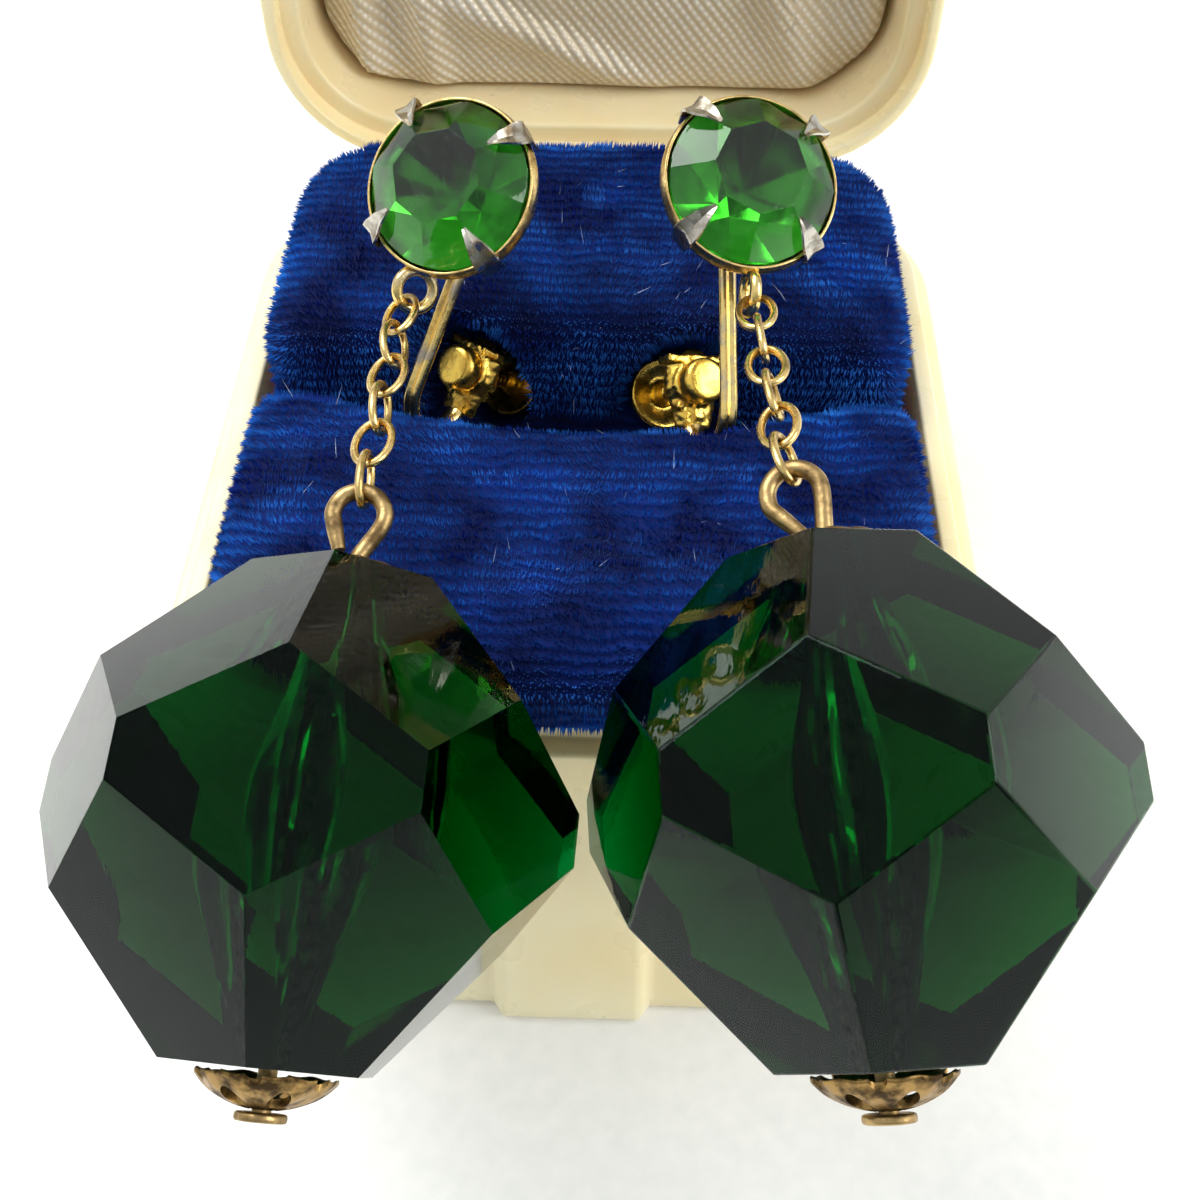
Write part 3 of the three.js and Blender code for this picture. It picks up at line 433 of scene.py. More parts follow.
# %% Metals
def worn_metal(name, bright, dull, patch_mm, low, high, smooth_rough, grain_mm):
    """A metal whose bright face is worn or tarnished to a second colour in patches."""
    material, tree, shader, where = new_material(name, Metallic=1)
    patches = noise_amount(tree, where, patch_mm, low, high, detail=6)
    tree.links.new(mixed(tree, patches, bright, dull), shader.inputs["Base Color"])
    tree.links.new(spread(tree, patches, *smooth_rough), shader.inputs["Roughness"])
    grain = noise_amount(tree, where, grain_mm, 0.25, 0.75, detail=5)
    raised(tree, shader, grain, 0.03, 0.5)
    return material


GOLD_PLATE = worn_metal("worn gold plate", "#f7d98a", "#b3ac9e", 2.2, 0.52, 0.68, (0.2, 0.34), 0.5)
CAST_GOLD = worn_metal(
    "rough cast gold plate", "#ffd866", "#c89a44", 1.1, 0.45, 0.75, (0.24, 0.42), 0.35
)
PALE_GOLD = worn_metal(
    "pale gold plated wire", "#f0d08a", "#9c8350", 1.2, 0.46, 0.7, (0.22, 0.38), 0.4
)
SILVER_TONE = worn_metal(
    "tarnished silver-tone nickel", "#c9c4b8", "#75654e", 1.3, 0.48, 0.68, (0.2, 0.42), 0.4
)
PATINA_BRASS = worn_metal(
    "patinated brass wire", "#b89c6a", "#6c583a", 1.1, 0.42, 0.64, (0.34, 0.55), 0.3
)
STAMPED_BRASS = worn_metal(
    "antique stamped brass", "#a68650", "#4a3922", 0.9, 0.42, 0.62, (0.34, 0.58), 0.3
)
PIN_STEEL = worn_metal("drawn steel pin", "#b9b6ae", "#7d776c", 1.5, 0.5, 0.8, (0.28, 0.42), 0.5)
print("seven metals")

# %% [markdown]
# ## Glass and acrylic
# The stone is green glass with a foiled back: light goes in through the crown, is thrown back by
# the foil and comes out again, which is why it sparkles in a closed cup. The bead is thick
# transparent acrylic. Its colour comes from its depth, so it is nearly black through the middle
# and bright green only in thin places. Both get their green from absorption inside and not from
# paint, and the wall of the bead's drilling is the same clear stuff, only a little less smooth.

# %% Stone and bead
def clear_solid(name, ior, mirror, smooth_rough, seen_through_1cm, scratch_mm, scratch_depth=0.004):
    """Polished clear stuff with its tint given as what white light becomes in a centimetre of it.

    The mirror colour dims what the skin reflects straight on, as a hazed old polish does.
    """
    material, tree, shader, where = new_material(name, Transmission_Weight=1, IOR=ior)
    shader.inputs["Specular Tint"].default_value = linear(mirror)
    shader.inputs["Base Color"].default_value = (1, 1, 1, 1)
    loss = [-math.log(max(channel, 1e-4)) / (10 * MM) for channel in linear(seen_through_1cm)[:3]]
    tint = (*[1 - each / max(loss) for each in loss], 1)
    inside = add_node(tree, "ShaderNodeVolumeAbsorption", {"Color": tint, "Density": max(loss)})
    tree.links.new(inside.outputs[0], tree.nodes["Material Output"].inputs["Volume"])
    scuffed = noise_amount(tree, where, 3, 0.6, 0.8, detail=9)
    tree.links.new(spread(tree, scuffed, *smooth_rough), shader.inputs["Roughness"])
    hairs = noise_amount(tree, where, scratch_mm, 0.45, 0.6, detail=3, stretch=(1, 0.12, 0.5))
    raised(tree, shader, hairs, scratch_depth, 0.5)
    return material


GREEN_GLASS = clear_solid("cut green glass", 1.54, "#ffffff", (0.01, 0.04), "#55b848", 0.6)
WORN_TABLE = clear_solid(
    "scratched table of green glass", 1.54, "#ffffff", (0.2, 0.5), "#55b848", 0.5, 0.02
)
BEAD_ACRYLIC = clear_solid("deep green acrylic", 1.49, "#7d8f88", (0.015, 0.2), "#088345", 0.8)
MELTED_WALL = clear_solid(
    "melted wall of the drilling", 1.49, "#ffffff", (0.02, 0.1), "#088345", 0.5
)


def foil():
    material, tree, shader, where = new_material("foiled back", Metallic=1, Roughness=0.12)
    flecks = noise_amount(tree, where, 1.4, 0.3, 0.7)
    tree.links.new(mixed(tree, flecks, "#fbfff2", "#c4e2b4"), shader.inputs["Base Color"])
    return material


FOIL = foil()
print(GREEN_GLASS.name, BEAD_ACRYLIC.name, FOIL.name, sep=", ")

# %% [markdown]
# ## Mesh helpers
# Most pieces are sections joined into a skin: a lathe turns a profile, a sweep carries a section
# along a path, and a loft joins outlines. They share one function that lays a grid of points, and
# one that turns points into an object with its place in its mesh.

# %% Mesh helpers
def grid_faces(rings, count, closed_rings=False):
    """Quads between rings of points, each ring closed on itself."""
    faces = []
    for k in range(rings if closed_rings else rings - 1):
        here = k * count
        there = ((k + 1) % rings) * count
        for i in range(count):
            j = (i + 1) % count
            faces.append((here + i, here + j, there + j, there + i))
    return faces


def skin(rings, closed_rings=False):
    """Points and faces of a closed skin over equal rings, with its two ends covered."""
    rings = np.asarray(rings, float)
    count = rings.shape[1]
    faces = grid_faces(len(rings), count, closed_rings)
    if not closed_rings:
        last = (len(rings) - 1) * count
        faces.append(tuple(reversed(range(count))))
        faces.append(tuple(range(last, last + count)))
    return rings.reshape(-1, 3), faces


def lathe(profile, sides):
    """A profile of (radius, height) turned about Z."""
    angles = np.linspace(0, 2 * math.pi, sides, endpoint=False)
    circle = np.stack([np.cos(angles), np.sin(angles), np.zeros(sides)], 1)
    return skin([circle * max(radius, 1e-4) + (0, 0, z) for radius, z in profile])


def ball_profile(radius, steps):
    """The half circle that turns into a ball, from its lower pole to its upper one."""
    arc = np.linspace(0, math.pi, steps)
    return [(radius * math.sin(t), -radius * math.cos(t)) for t in arc]


def rounded(points, radius, steps=4):
    """A line of points whose inner corners are rounded, in as many dimensions as the points have."""
    points = [np.asarray(p, float) for p in points]
    radii = radius if hasattr(radius, "__len__") else [radius] * len(points)
    smooth = [points[0]]
    for before, corner, after, r in zip(points, points[1:], points[2:], radii[1:]):
        back = before - corner
        ahead = after - corner
        start = corner + back * min(0.5, r / max(np.linalg.norm(back), 1e-9))
        end = corner + ahead * min(0.5, r / max(np.linalg.norm(ahead), 1e-9))
        for t in np.linspace(0, 1, steps + 1):
            smooth.append((1 - t) ** 2 * start + 2 * t * (1 - t) * corner + t**2 * end)
    return smooth + [points[-1]]


def smooth_path(points, steps):
    """A smooth path through chosen points."""
    points = [np.asarray(p, float) for p in points]
    padded = [2 * points[0] - points[1], *points, 2 * points[-1] - points[-2]]
    path = []
    for a, b, c, d in zip(padded, padded[1:], padded[2:], padded[3:]):
        for t in np.linspace(0, 1, steps, endpoint=False):
            path.append(0.5 * (2 * b + (c - a) * t + (2 * a - 5 * b + 4 * c - d) * t**2
                               + (3 * b - a - 3 * c + d) * t**3))
    return np.array(path + [points[-1]])


def oval(half_width, half_depth, sides=20):
    angles = np.linspace(0, 2 * math.pi, sides, endpoint=False)
    return np.stack([half_width * np.cos(angles), half_depth * np.sin(angles)], 1)


def sweep(path, sections, across):
    """Sections of (across, outward) points carried along a path, with across kept level."""
    path = np.asarray(path, float)
    ahead = np.gradient(path, axis=0)
    rings = []
    for point, direction, section in zip(path, ahead, sections):
        direction = direction / np.linalg.norm(direction)
        side = np.asarray(across, float) - np.dot(across, direction) * direction
        side /= np.linalg.norm(side)
        out = np.cross(direction, side)
        rings.append(point + section[:, :1] * side + section[:, 1:] * out)
    return skin(rings)


def turned(part, matrix):
    """A part's points carried by a matrix, in millimetres."""
    points, faces = part
    carry = np.array(matrix)
    return np.asarray(points) @ carry[:3, :3].T + carry[:3, 3], faces


def joined(*parts):
    """Several parts as one."""
    points = []
    faces = []
    for part_points, part_faces in parts:
        shift = sum(len(p) for p in points)
        points.append(np.asarray(part_points))
        faces += [tuple(i + shift for i in face) for face in part_faces]
    return np.concatenate(points), faces


def piece(name, part, material, sharp_deg=40, place=None):
    """An object from a part in millimetres: merged, with its faces out, smooth up to sharp_deg."""
    points, faces = turned(part, place) if place is not None else part
    mesh = bpy.data.meshes.new(name)
    mesh.from_pydata((np.asarray(points) * MM).tolist(), [], faces)
    shaped = bmesh.new()
    shaped.from_mesh(mesh)
    bmesh.ops.remove_doubles(shaped, verts=shaped.verts, dist=0.001 * MM)
    bmesh.ops.recalc_face_normals(shaped, faces=shaped.faces)
    shaped.to_mesh(mesh)
    shaped.free()
    made = bpy.data.objects.new(name, mesh)
    bpy.context.scene.collection.objects.link(made)
    mesh.materials.append(material)
    mesh.shade_smooth()
    mesh.set_sharp_from_angle(angle=math.radians(sharp_deg))
    return made


def settled(made, sharp_deg=None):
    """Turns what an object's modifiers give into its plain mesh, and takes the modifiers off."""
    graph = bpy.context.evaluated_depsgraph_get()
    mesh = bpy.data.meshes.new_from_object(made.evaluated_get(graph))
    old = made.data
    made.modifiers.clear()
    made.data = mesh
    mesh.name = made.name
    bpy.data.meshes.remove(old)
    if sharp_deg is not None:
        mesh.shade_smooth()
        mesh.set_sharp_from_angle(angle=math.radians(sharp_deg))
    return made


def with_modifier(made, kind, sharp_deg=None, **settings):
    """Adds one modifier, with its settings, and settles it."""
    modifier = made.modifiers.new(kind.lower(), kind)
    for name, value in settings.items():
        setattr(modifier, name, value)
    return settled(made, sharp_deg)


def carve(made, tool, operation="DIFFERENCE", sharp_deg=40):
    """Cuts a tool out of a piece, or adds it, and takes the tool away."""
    with_modifier(made, "BOOLEAN", sharp_deg, object=tool, operation=operation, solver="EXACT")
    bpy.data.objects.remove(tool)
    return made


def triangles(made):
    made.data.calc_loop_triangles()
    return len(made.data.loop_triangles)


print("mesh helpers ready")

# %% [markdown]
# ## The box base and lid
# Both halves are one wall carried round the same rounded outline, so both are lofts: a profile
# says how far out the wall stands at each height. Its corners are rounded as a mould's are. The
# thumb tab is a soft swelling of the front wall. Knuckles for the hinge are added to the back and
# drilled for the pin.

# %% Box outline and walls
FRONT_STEPS = 80
SIDE_STEPS = 16
CORNER_STEPS = 12
TAB_EDGE = 0.9  # width over which the tab's side rises


def eased(t):
    t = min(max(t, 0), 1)
    return t * t * (3 - 2 * t)


def box_ring(out, z, tab):
    """The box's plan outline, out from the parting line's, with the tab's swelling at the front."""
    radius = max(CORNER_RADIUS + out, 1)
    half_x = BOX_WIDTH / 2 + out - radius
    half_y = BOX_DEPTH / 2 + out - radius
    corners = [(1, -1, -90), (1, 1, 0), (-1, 1, 90), (-1, -1, 180)]
    ring = []
    for i, (x, y, start) in enumerate(corners):
        for k in range(CORNER_STEPS + 1):
            a = math.radians(start + 90 * k / CORNER_STEPS)
            ring.append((x * half_x + radius * math.cos(a), y * half_y + radius * math.sin(a), z))
        steps = FRONT_STEPS if i == 3 else SIDE_STEPS
        next_x, next_y, next_start = corners[(i + 1) % 4]
        a = math.radians(next_start)
        to = (next_x * half_x + radius * math.cos(a), next_y * half_y + radius * math.sin(a))
        x0, y0, _ = ring[-1]
        for k in range(1, steps):
            share = k / steps
            px = x0 + (to[0] - x0) * share
            py = y0 + (to[1] - y0) * share
            swell = tab * eased((TAB_WIDTH / 2 + TAB_EDGE / 2 - abs(px)) / TAB_EDGE) if i == 3 else 0
            ring.append((px, py - swell, z))
    return ring


def tab_swell(z):
    """How far the thumb tab stands out at a height."""
    return TAB_PROUD * eased((0.66 * BASE_HEIGHT - z) / (0.2 * BASE_HEIGHT))


def box_base():
    flare = rounded(
        [
            (0.5 * FOOT_FLARE, 0),
            (FOOT_FLARE, 0),
            (FOOT_FLARE, 0.05 * BASE_HEIGHT),
            (0.55 * FOOT_FLARE, 0.25 * BASE_HEIGHT),
            (0.2 * FOOT_FLARE, 0.55 * BASE_HEIGHT),
            (0, PARTING_Z),
            (-LIP_INSET, PARTING_Z),
            (-LIP_INSET, BASE_HEIGHT),
            (-WALL, BASE_HEIGHT),
            (-WALL, FLOOR_THICKNESS),
            (-2 * WALL, FLOOR_THICKNESS),
        ],
        [0, 0.5, 0.7, 4, 6, 0.35, 0.2, 0.25, 0.25, 1, 0],
        steps=5,
    )
    outside = [out > -0.5 * LIP_INSET for out, z in flare]
    rings = [box_ring(out, z, tab_swell(z) if proud else 0) for (out, z), proud in zip(flare, outside)]
    return piece("ring_box_base", skin(rings), IVORY, 50)


def lid_place():
    hinge = Matrix.Translation((0, HINGE_Y, PARTING_Z))
    opened = Matrix.Rotation(-math.radians(LID_OPEN_DEG), 4, "X")
    return hinge @ opened @ Matrix.Translation((0, -HINGE_Y, 0))


def box_lid():
    ceiling = LID_HEIGHT - LID_CEILING
    wall = rounded(
        [
            (-WALL - 0.5 * LID_HEIGHT, ceiling),
            (-WALL - 0.2 * LID_HEIGHT, ceiling),
            (-1.08 * WALL, 0.7 * ceiling),
            (-WALL, LIP_HEIGHT + FIT_GAP),
            (-LIP_INSET + FIT_GAP, LIP_HEIGHT + FIT_GAP),
            (-LIP_INSET + FIT_GAP, 0),
            (0, 0),
            (0, 0.45 * LID_HEIGHT),
            (-0.3 * WALL, 0.7 * LID_HEIGHT),
            (-WALL, 0.88 * LID_HEIGHT),
            (-WALL - 0.1 * LID_HEIGHT, 0.97 * LID_HEIGHT),
            (-WALL - 0.3 * LID_HEIGHT, LID_HEIGHT),
            (-WALL - 0.5 * LID_HEIGHT, LID_HEIGHT),
        ],
        [0, 2, 2, 0.5, 0.2, 0.3, 0.4, 4, 3, 2, 2, 3, 0],
        steps=5,
    )
    return piece("ring_box_lid", skin([box_ring(out, z, 0) for out, z in wall]), IVORY, 50, lid_place())


def knuckle(x, upward, clear, place):
    """A drilled knuckle on the hinge axis, and the web that ties it to its wall."""
    wall_y = -KNUCKLE_RADIUS - WALL / 2
    web = rounded(
        [
            (0.6 * KNUCKLE_RADIUS, upward * 0.8 * KNUCKLE_RADIUS),
            (wall_y, upward * 3 * KNUCKLE_RADIUS),
            (wall_y, upward * clear),
            (0, upward * FIT_GAP),
        ],
        0.2,
    )
    half = KNUCKLE_LENGTH / 2
    sides = [[(x + end * half, y, z) for y, z in web] for end in (-1, 1)]
    along_x = Matrix.Translation((x, 0, 0)) @ Matrix.Rotation(math.radians(90), 4, "Y")
    rim = 0.2
    barrel = [(0, -half), (KNUCKLE_RADIUS - rim, -half), (KNUCKLE_RADIUS, rim - half)]
    barrel += [(r, -z) for r, z in reversed(barrel)]
    made = piece("knuckle", turned(lathe(barrel, 32), along_x), IVORY, place=place)
    return carve(made, piece("web", skin(sides), IVORY, place=place), "UNION")


def hinge_bore(place):
    along_x = Matrix.Rotation(math.radians(90), 4, "Y")
    bore = lathe([(HINGE_BORE_RADIUS, -BOX_WIDTH / 2), (HINGE_BORE_RADIUS, BOX_WIDTH / 2)], 32)
    return piece("hinge_bore", turned(bore, along_x), IVORY, place=place)


hinge_place = Matrix.Translation((0, HINGE_Y, PARTING_Z))
lid_hinge_place = lid_place() @ Matrix.Translation((0, HINGE_Y, 0))

base = box_base()
for side in (-1, 1):
    carve(base, knuckle(side * (KNUCKLE_LENGTH + KNUCKLE_GAP), -1, FIT_GAP, hinge_place), "UNION", 50)
carve(base, hinge_bore(hinge_place), sharp_deg=50)
lid = box_lid()
carve(lid, knuckle(0, 1, LIP_HEIGHT + 2 * FIT_GAP, lid_hinge_place), "UNION", 50)
carve(lid, hinge_bore(lid_hinge_place), sharp_deg=50)
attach(base, "box")
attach(lid, "lid")
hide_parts("box_base")
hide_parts("box_lid")
print("base", triangles(base), "lid", triangles(lid), "triangles")

# %% Hinge pin
pin_half = 1.5 * KNUCKLE_LENGTH
pin_rim = 0.25
half_pin = [
    (0, -pin_half),
    (HINGE_PIN_RADIUS - pin_rim, -pin_half),
    (HINGE_PIN_RADIUS, pin_rim - pin_half),
]
pin_profile = half_pin + [(r, -z) for r, z in reversed(half_pin)]
pin_place = hinge_place @ Matrix.Rotation(math.radians(90), 4, "Y")
hinge_pin = piece("steel_hinge_pin", lathe(pin_profile, 32), PIN_STEEL, place=pin_place)
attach(hinge_pin, "box")
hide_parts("hinge_pin")
print("hinge pin", triangles(hinge_pin))

# %% [markdown]
# ## The pads
# Each pad is foam wrapped in velvet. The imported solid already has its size, the swelling over the
# front edge, and the room that the ear wires press into it. A copy of it is merged, remeshed to
# small even faces and relaxed, so that every edge turns round as cloth over foam does.

# %% Soft pads
PAD_VOXEL = 0.55
PAD_RELAXED = 14


def softened(node_name, name, voxel, rounds, material):
    """A soft, even copy of a CAD solid."""
    mesh = nodes[node_name].data.copy()
    shaped = bmesh.new()
    shaped.from_mesh(mesh)
    bmesh.ops.remove_doubles(shaped, verts=shaped.verts, dist=0.001 * MM)
    shaped.to_mesh(mesh)
    shaped.free()
    mesh.materials.clear()
    mesh.materials.append(material)
    made = bpy.data.objects.new(name, mesh)
    bpy.context.scene.collection.objects.link(made)
    with_modifier(made, "REMESH", mode="VOXEL", voxel_size=voxel * MM, use_smooth_shade=True)
    with_modifier(made, "SMOOTH", factor=0.5, iterations=rounds)
    return made


pad_front = softened("pad_front", "velvet_pad_front", PAD_VOXEL, PAD_RELAXED, VELVET_GROUND)
pad_back = softened("pad_back", "velvet_pad_back", PAD_VOXEL, PAD_RELAXED, VELVET_GROUND)
for pad, node_name in ((pad_front, "pad_front"), (pad_back, "pad_back")):
    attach(pad, "box")
    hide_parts(node_name)
    print(pad.name, triangles(pad))

# %% [markdown]
# ## The satin lining
# Satin is glued over a thin pad inside the lid, so it swells in the middle, tucks in at its edges
# and keeps a few long soft folds. The solid's copy is softened as the pads were. Each fold is a
# ridge along a line in the lid's own plane, given as shares of the lining's width and height.

# %% Satin with folds
FOLDS = [
    # from (across, up) to (across, up), how wide, how high
    dict(start=(-0.47, 0.95), end=(-0.41, -0.1), width=0.030, height=3.0),
    dict(start=(-0.37, 0.60), end=(-0.29, -0.05), width=0.026, height=2.0),
    dict(start=(-0.30, 0.18), end=(0.10, 0.01), width=0.028, height=1.5),
    dict(start=(0.02, 0.95), end=(0.40, -0.05), width=0.040, height=2.4),
    dict(start=(0.22, 1.05), end=(0.49, 0.10), width=0.032, height=2.4),
    dict(start=(-0.20, 1.05), end=(-0.08, 0.25), width=0.040, height=1.6),
]
LINING_VOXEL = 0.5


def fold_height(across, up):
    """How far the satin stands up at a place, in millimetres."""
    height = 0
    for fold in FOLDS:
        start = Vector(fold["start"])
        along = Vector(fold["end"]) - start
        place = Vector((across, up)) - start
        share = min(max(place.dot(along) / along.length_squared, 0), 1)
        away = (place - along * share).length
        fade = 0.4 + 0.6 * math.sin(math.pi * share)
        height += fold["height"] * math.exp(-((away / fold["width"]) ** 2)) * fade
    return height


lining = softened("lid_lining", "satin_lining", LINING_VOXEL, 10, SATIN)
low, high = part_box("lid_lining")
out_of_lid = lid_place().to_3x3() @ Vector((0, 0, -1))
for vertex in lining.data.vertices:
    facing_out = max(vertex.normal.dot(out_of_lid), 0)
    across = vertex.co.x / (high.x - low.x)
    up = (vertex.co.z - low.z) / (high.z - low.z)
    crumple = 0.4 * noise.noise(vertex.co / (5 * MM))
    vertex.co += out_of_lid * facing_out * (fold_height(across, up) - 0.6 + crumple) * MM
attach(lining, "lid")
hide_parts("lid_lining")
print(lining.name, triangles(lining))

# %% [markdown]
# ## The stones
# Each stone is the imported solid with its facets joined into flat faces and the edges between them
# just broken, as polishing leaves them. Faces that point back into the cup are foiled, the largest
# face is the scratched table, and the rest is clear glass.

# %% Stones
def faceted_copy(node_name, name, edge_mm, materials):
    """A copy of a faceted solid with each facet one face, and its edges slightly broken."""
    mesh = nodes[node_name].data.copy()
    shaped = bmesh.new()
    shaped.from_mesh(mesh)
    bmesh.ops.remove_doubles(shaped, verts=shaped.verts, dist=0.001 * MM)
    edges = list(shaped.edges)
    bmesh.ops.dissolve_limit(shaped, angle_limit=math.radians(0.5), verts=shaped.verts, edges=edges)
    shaped.to_mesh(mesh)
    shaped.free()
    mesh.materials.clear()
    for material in materials:
        mesh.materials.append(material)
    made = bpy.data.objects.new(name, mesh)
    bpy.context.scene.collection.objects.link(made)
    with_modifier(made, "BEVEL", width=edge_mm * MM, segments=2, limit_method="ANGLE",
                  angle_limit=math.radians(15), harden_normals=False)
    made.data.shade_smooth()
    made.data.set_sharp_from_angle(angle=math.radians(12))
    return made


for lie in EARRINGS:
    side = lie["side"]
    stone = faceted_copy(f"stone_{side}", f"glass_stone_{side}", 0.05, (GREEN_GLASS, WORN_TABLE, FOIL))
    outward = fitting_place(lie).to_3x3() @ Vector((0, 0, 1))
    for face in stone.data.polygons:
        upward = face.normal.dot(outward)
        face.material_index = 2 if upward < -0.1 else 1 if upward > 0.98 else 0
    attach(stone, "box")
    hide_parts(f"stone_{side}")
    print(stone.name, triangles(stone))

# %% [markdown]
# ## The beads
# A bead is a hexagonal barrel cut with large facets on both shoulders, and drilled end to end. The
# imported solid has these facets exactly, so its copy only needs broken edges. The drill ran hot
# where its two holes met, so the drilling swells in the middle and its wall has melted into long
# flutes, which throw light up and show as bright green streaks. It is cut as a fluted spindle.

# %% Beads
BORE_RADIUS = PIN_RADIUS + PIN_CLEARANCE
BORE_SWELL = 1.5
BORE_FLUTES = 5


def melted_bore():
    angles = np.linspace(0, 2 * math.pi, 40, endpoint=False)
    rings = []
    for z in np.linspace(-0.5 * BEAD_HEIGHT - 0.5, 0.5 * BEAD_HEIGHT + 0.5, 40):
        swell = BORE_SWELL * math.exp(-((z / (0.24 * BEAD_HEIGHT)) ** 2))
        flutes = 0.7 + 0.3 * np.cos(BORE_FLUTES * angles + 0.12 * z) + 0.15 * np.cos(2 * angles - 0.3 * z)
        radius = BORE_RADIUS + 0.02 + swell * flutes
        rings.append(np.stack([radius * np.cos(angles), radius * np.sin(angles), np.full(40, z)], 1))
    return skin(rings)


for lie in EARRINGS:
    side = lie["side"]
    bead = faceted_copy(f"bead_{side}", f"acrylic_bead_{side}", 0.12, (BEAD_ACRYLIC, MELTED_WALL))
    place = drop_place(lie)
    middle = place.translation * MM
    axis = (place.to_3x3() @ Vector((0, 0, 1))).normalized()
    carve(bead, piece("bore", melted_bore(), MELTED_WALL, place=place), sharp_deg=12)
    for face in bead.data.polygons:
        from_axis = (face.center - middle).cross(axis).length
        beside = abs(face.normal.dot(axis)) < 0.7
        face.material_index = 1 if beside and from_axis < (BORE_RADIUS + 1.3 * BORE_SWELL) * MM else 0
    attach(bead, "box")
    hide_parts(f"bead_{side}")
    print(bead.name, triangles(bead))

# %% [markdown]
# ## The cup, its claws and the lug
# The cup is a thin stamping: a turned profile closed round the girdle. Its claws are the same
# sheet, folded to a ridge and bent in over the crown, so each is swept along its bend with a
# roof-shaped section that narrows to a blunt tip. The lug is a thick ring soldered at its foot.

# %% Cup and claws
CUP_OUTER = CUP_INNER + CUP_WALL
RIM_EDGE = 0.16  # the sheet thins to this at the rim


def cup_shell():
    floor = -PAVILION_HEIGHT - CUP_FLOOR_GAP
    profile = rounded(
        [
            (0, floor - CUP_WALL),
            (0.45 * CUP_OUTER, floor - CUP_WALL),
            (CUP_OUTER, -CUP_SHOULDER),
            (CUP_INNER + RIM_EDGE, CUP_RIM),
            (CUP_INNER, CUP_RIM),
            (CUP_INNER, -0.8 * CUP_SHOULDER),
            (0.4 * CUP_INNER, floor),
            (0, floor),
        ],
        [0, 0.6, 0.5, 0.05, 0.05, 0.3, 0.4, 0],
    )
    return lathe(profile, 72)


def claw():
    """One claw that points along +X: up the cup's wall and in over the stone."""
    tip_x = CUP_INNER - CLAW_REACH
    tip_z = CROWN_HEIGHT * CLAW_REACH / (CUP_INNER * (1 - TABLE_SHARE)) + 0.42
    bend = [
        (CUP_OUTER + 0.02, 0, -CUP_SHOULDER - 0.5),
        (CUP_OUTER + 0.12, 0, -0.1),
        (CUP_OUTER + 0.1, 0, 0.55),
        (CUP_INNER - 0.25, 0, 1.12),
        (0.5 * (CUP_INNER + tip_x), 0, 0.5 * (1.3 + tip_z)),
        (tip_x, 0, tip_z),
    ]
    path = smooth_path(bend, 4)
    shares = np.linspace(0, 1, len(path))
    widths = np.interp(shares, [0, 0.25, 0.5, 0.8, 1], [0.8, 1, 0.95, 0.55, 0.16]) * CLAW_WIDTH / 2
    ridges = np.interp(shares, [0, 0.3, 0.6, 1], [0.12, 0.34, 0.42, 0.2])
    thin = 0.14
    sections = []
    for half, ridge in zip(widths, ridges):
        top = [(-half, 0), (-0.45 * half, 0.62 * ridge), (0, ridge), (0.45 * half, 0.62 * ridge), (half, 0)]
        under = [(0.9 * half, -thin), (0, ridge * 0.5 - thin), (-0.9 * half, -thin)]
        sections.append(np.array(top + under))
    return sweep(path, sections, (0, 1, 0))


def ring_part(radius, wire, turn_deg, centre, steps=48, sides=16):
    """A plain ring in the XY plane, turned about Y and moved to its centre."""
    angles = np.linspace(0, 2 * math.pi, steps, endpoint=False)
    round_wire = oval(wire / 2, wire / 2, sides)
    rings = [
        [((radius + u) * math.cos(a), (radius + u) * math.sin(a), v) for u, v in round_wire] for a in angles
    ]
    place = Matrix.Translation(centre) @ Matrix.Rotation(math.radians(turn_deg), 4, "Y")
    return turned(skin(rings, closed_rings=True), place)


# %% [markdown]
# ## The ear wire
# One oval wire leaves the cup's back, turns up through a tight bend and is flattened into the
# rough cast barrel that carries the screw. It is swept along its own path with a section that
# changes from a grooved oval to a flat strap. The barrel is a casting, so its pieces are melted
# together by a remesh and roughened before the screw's hole is drilled.

# %% Ear wire
GROOVE = 0.5
CAST_VOXEL = 0.13
CAST_ROUGHNESS = 0.1


def grooved(half_width, half_depth, groove):
    """An oval section with a groove along its outer face."""
    section = oval(half_width, half_depth, 28)
    dip = groove * half_depth * np.exp(-((section[:, 0] / (0.3 * half_width)) ** 2))
    section[:, 1] -= np.sign(section[:, 1]) * dip
    return section


def ear_limb():
    bend = EAR_GAP / 2
    bend_y = bend - EAR_WIRE_DROP
    chosen = [(0, EAR_WIRE_TOP, 0), (0, 0.3 * bend_y, 0), (0, 0.7 * bend_y, 0), (0, bend_y, 0)]
    for deg in (30, 60, 90, 120, 150):
        a = math.radians(deg)
        chosen.append((0, bend_y - bend * math.sin(a), bend * (math.cos(a) - 1)))
    chosen += [(0, bend_y, -EAR_GAP), (0, -SCREW_DROP - 0.7 * BARREL_RADIUS, -EAR_GAP)]
    path = smooth_path(chosen, 6)
    shares = np.linspace(0, 1, len(path))
    widths = np.interp(shares, [0, 0.25, 0.7, 0.8, 1], [1, 1, 0.95, 1.1, 2.2]) * EAR_WIRE_WIDTH / 2
    depths = np.interp(shares, [0, 0.7, 0.85, 1], [1, 1, 0.95, 1.2]) * EAR_WIRE_DEPTH / 2
    grooves = np.interp(shares, [0, 0.1, 0.4, 0.6, 1], [GROOVE, GROOVE, GROOVE, 0.05, 0])
    sections = [grooved(w, d, g) for w, d, g in zip(widths, depths, grooves)]
    return sweep(path, sections, (1, 0, 0))


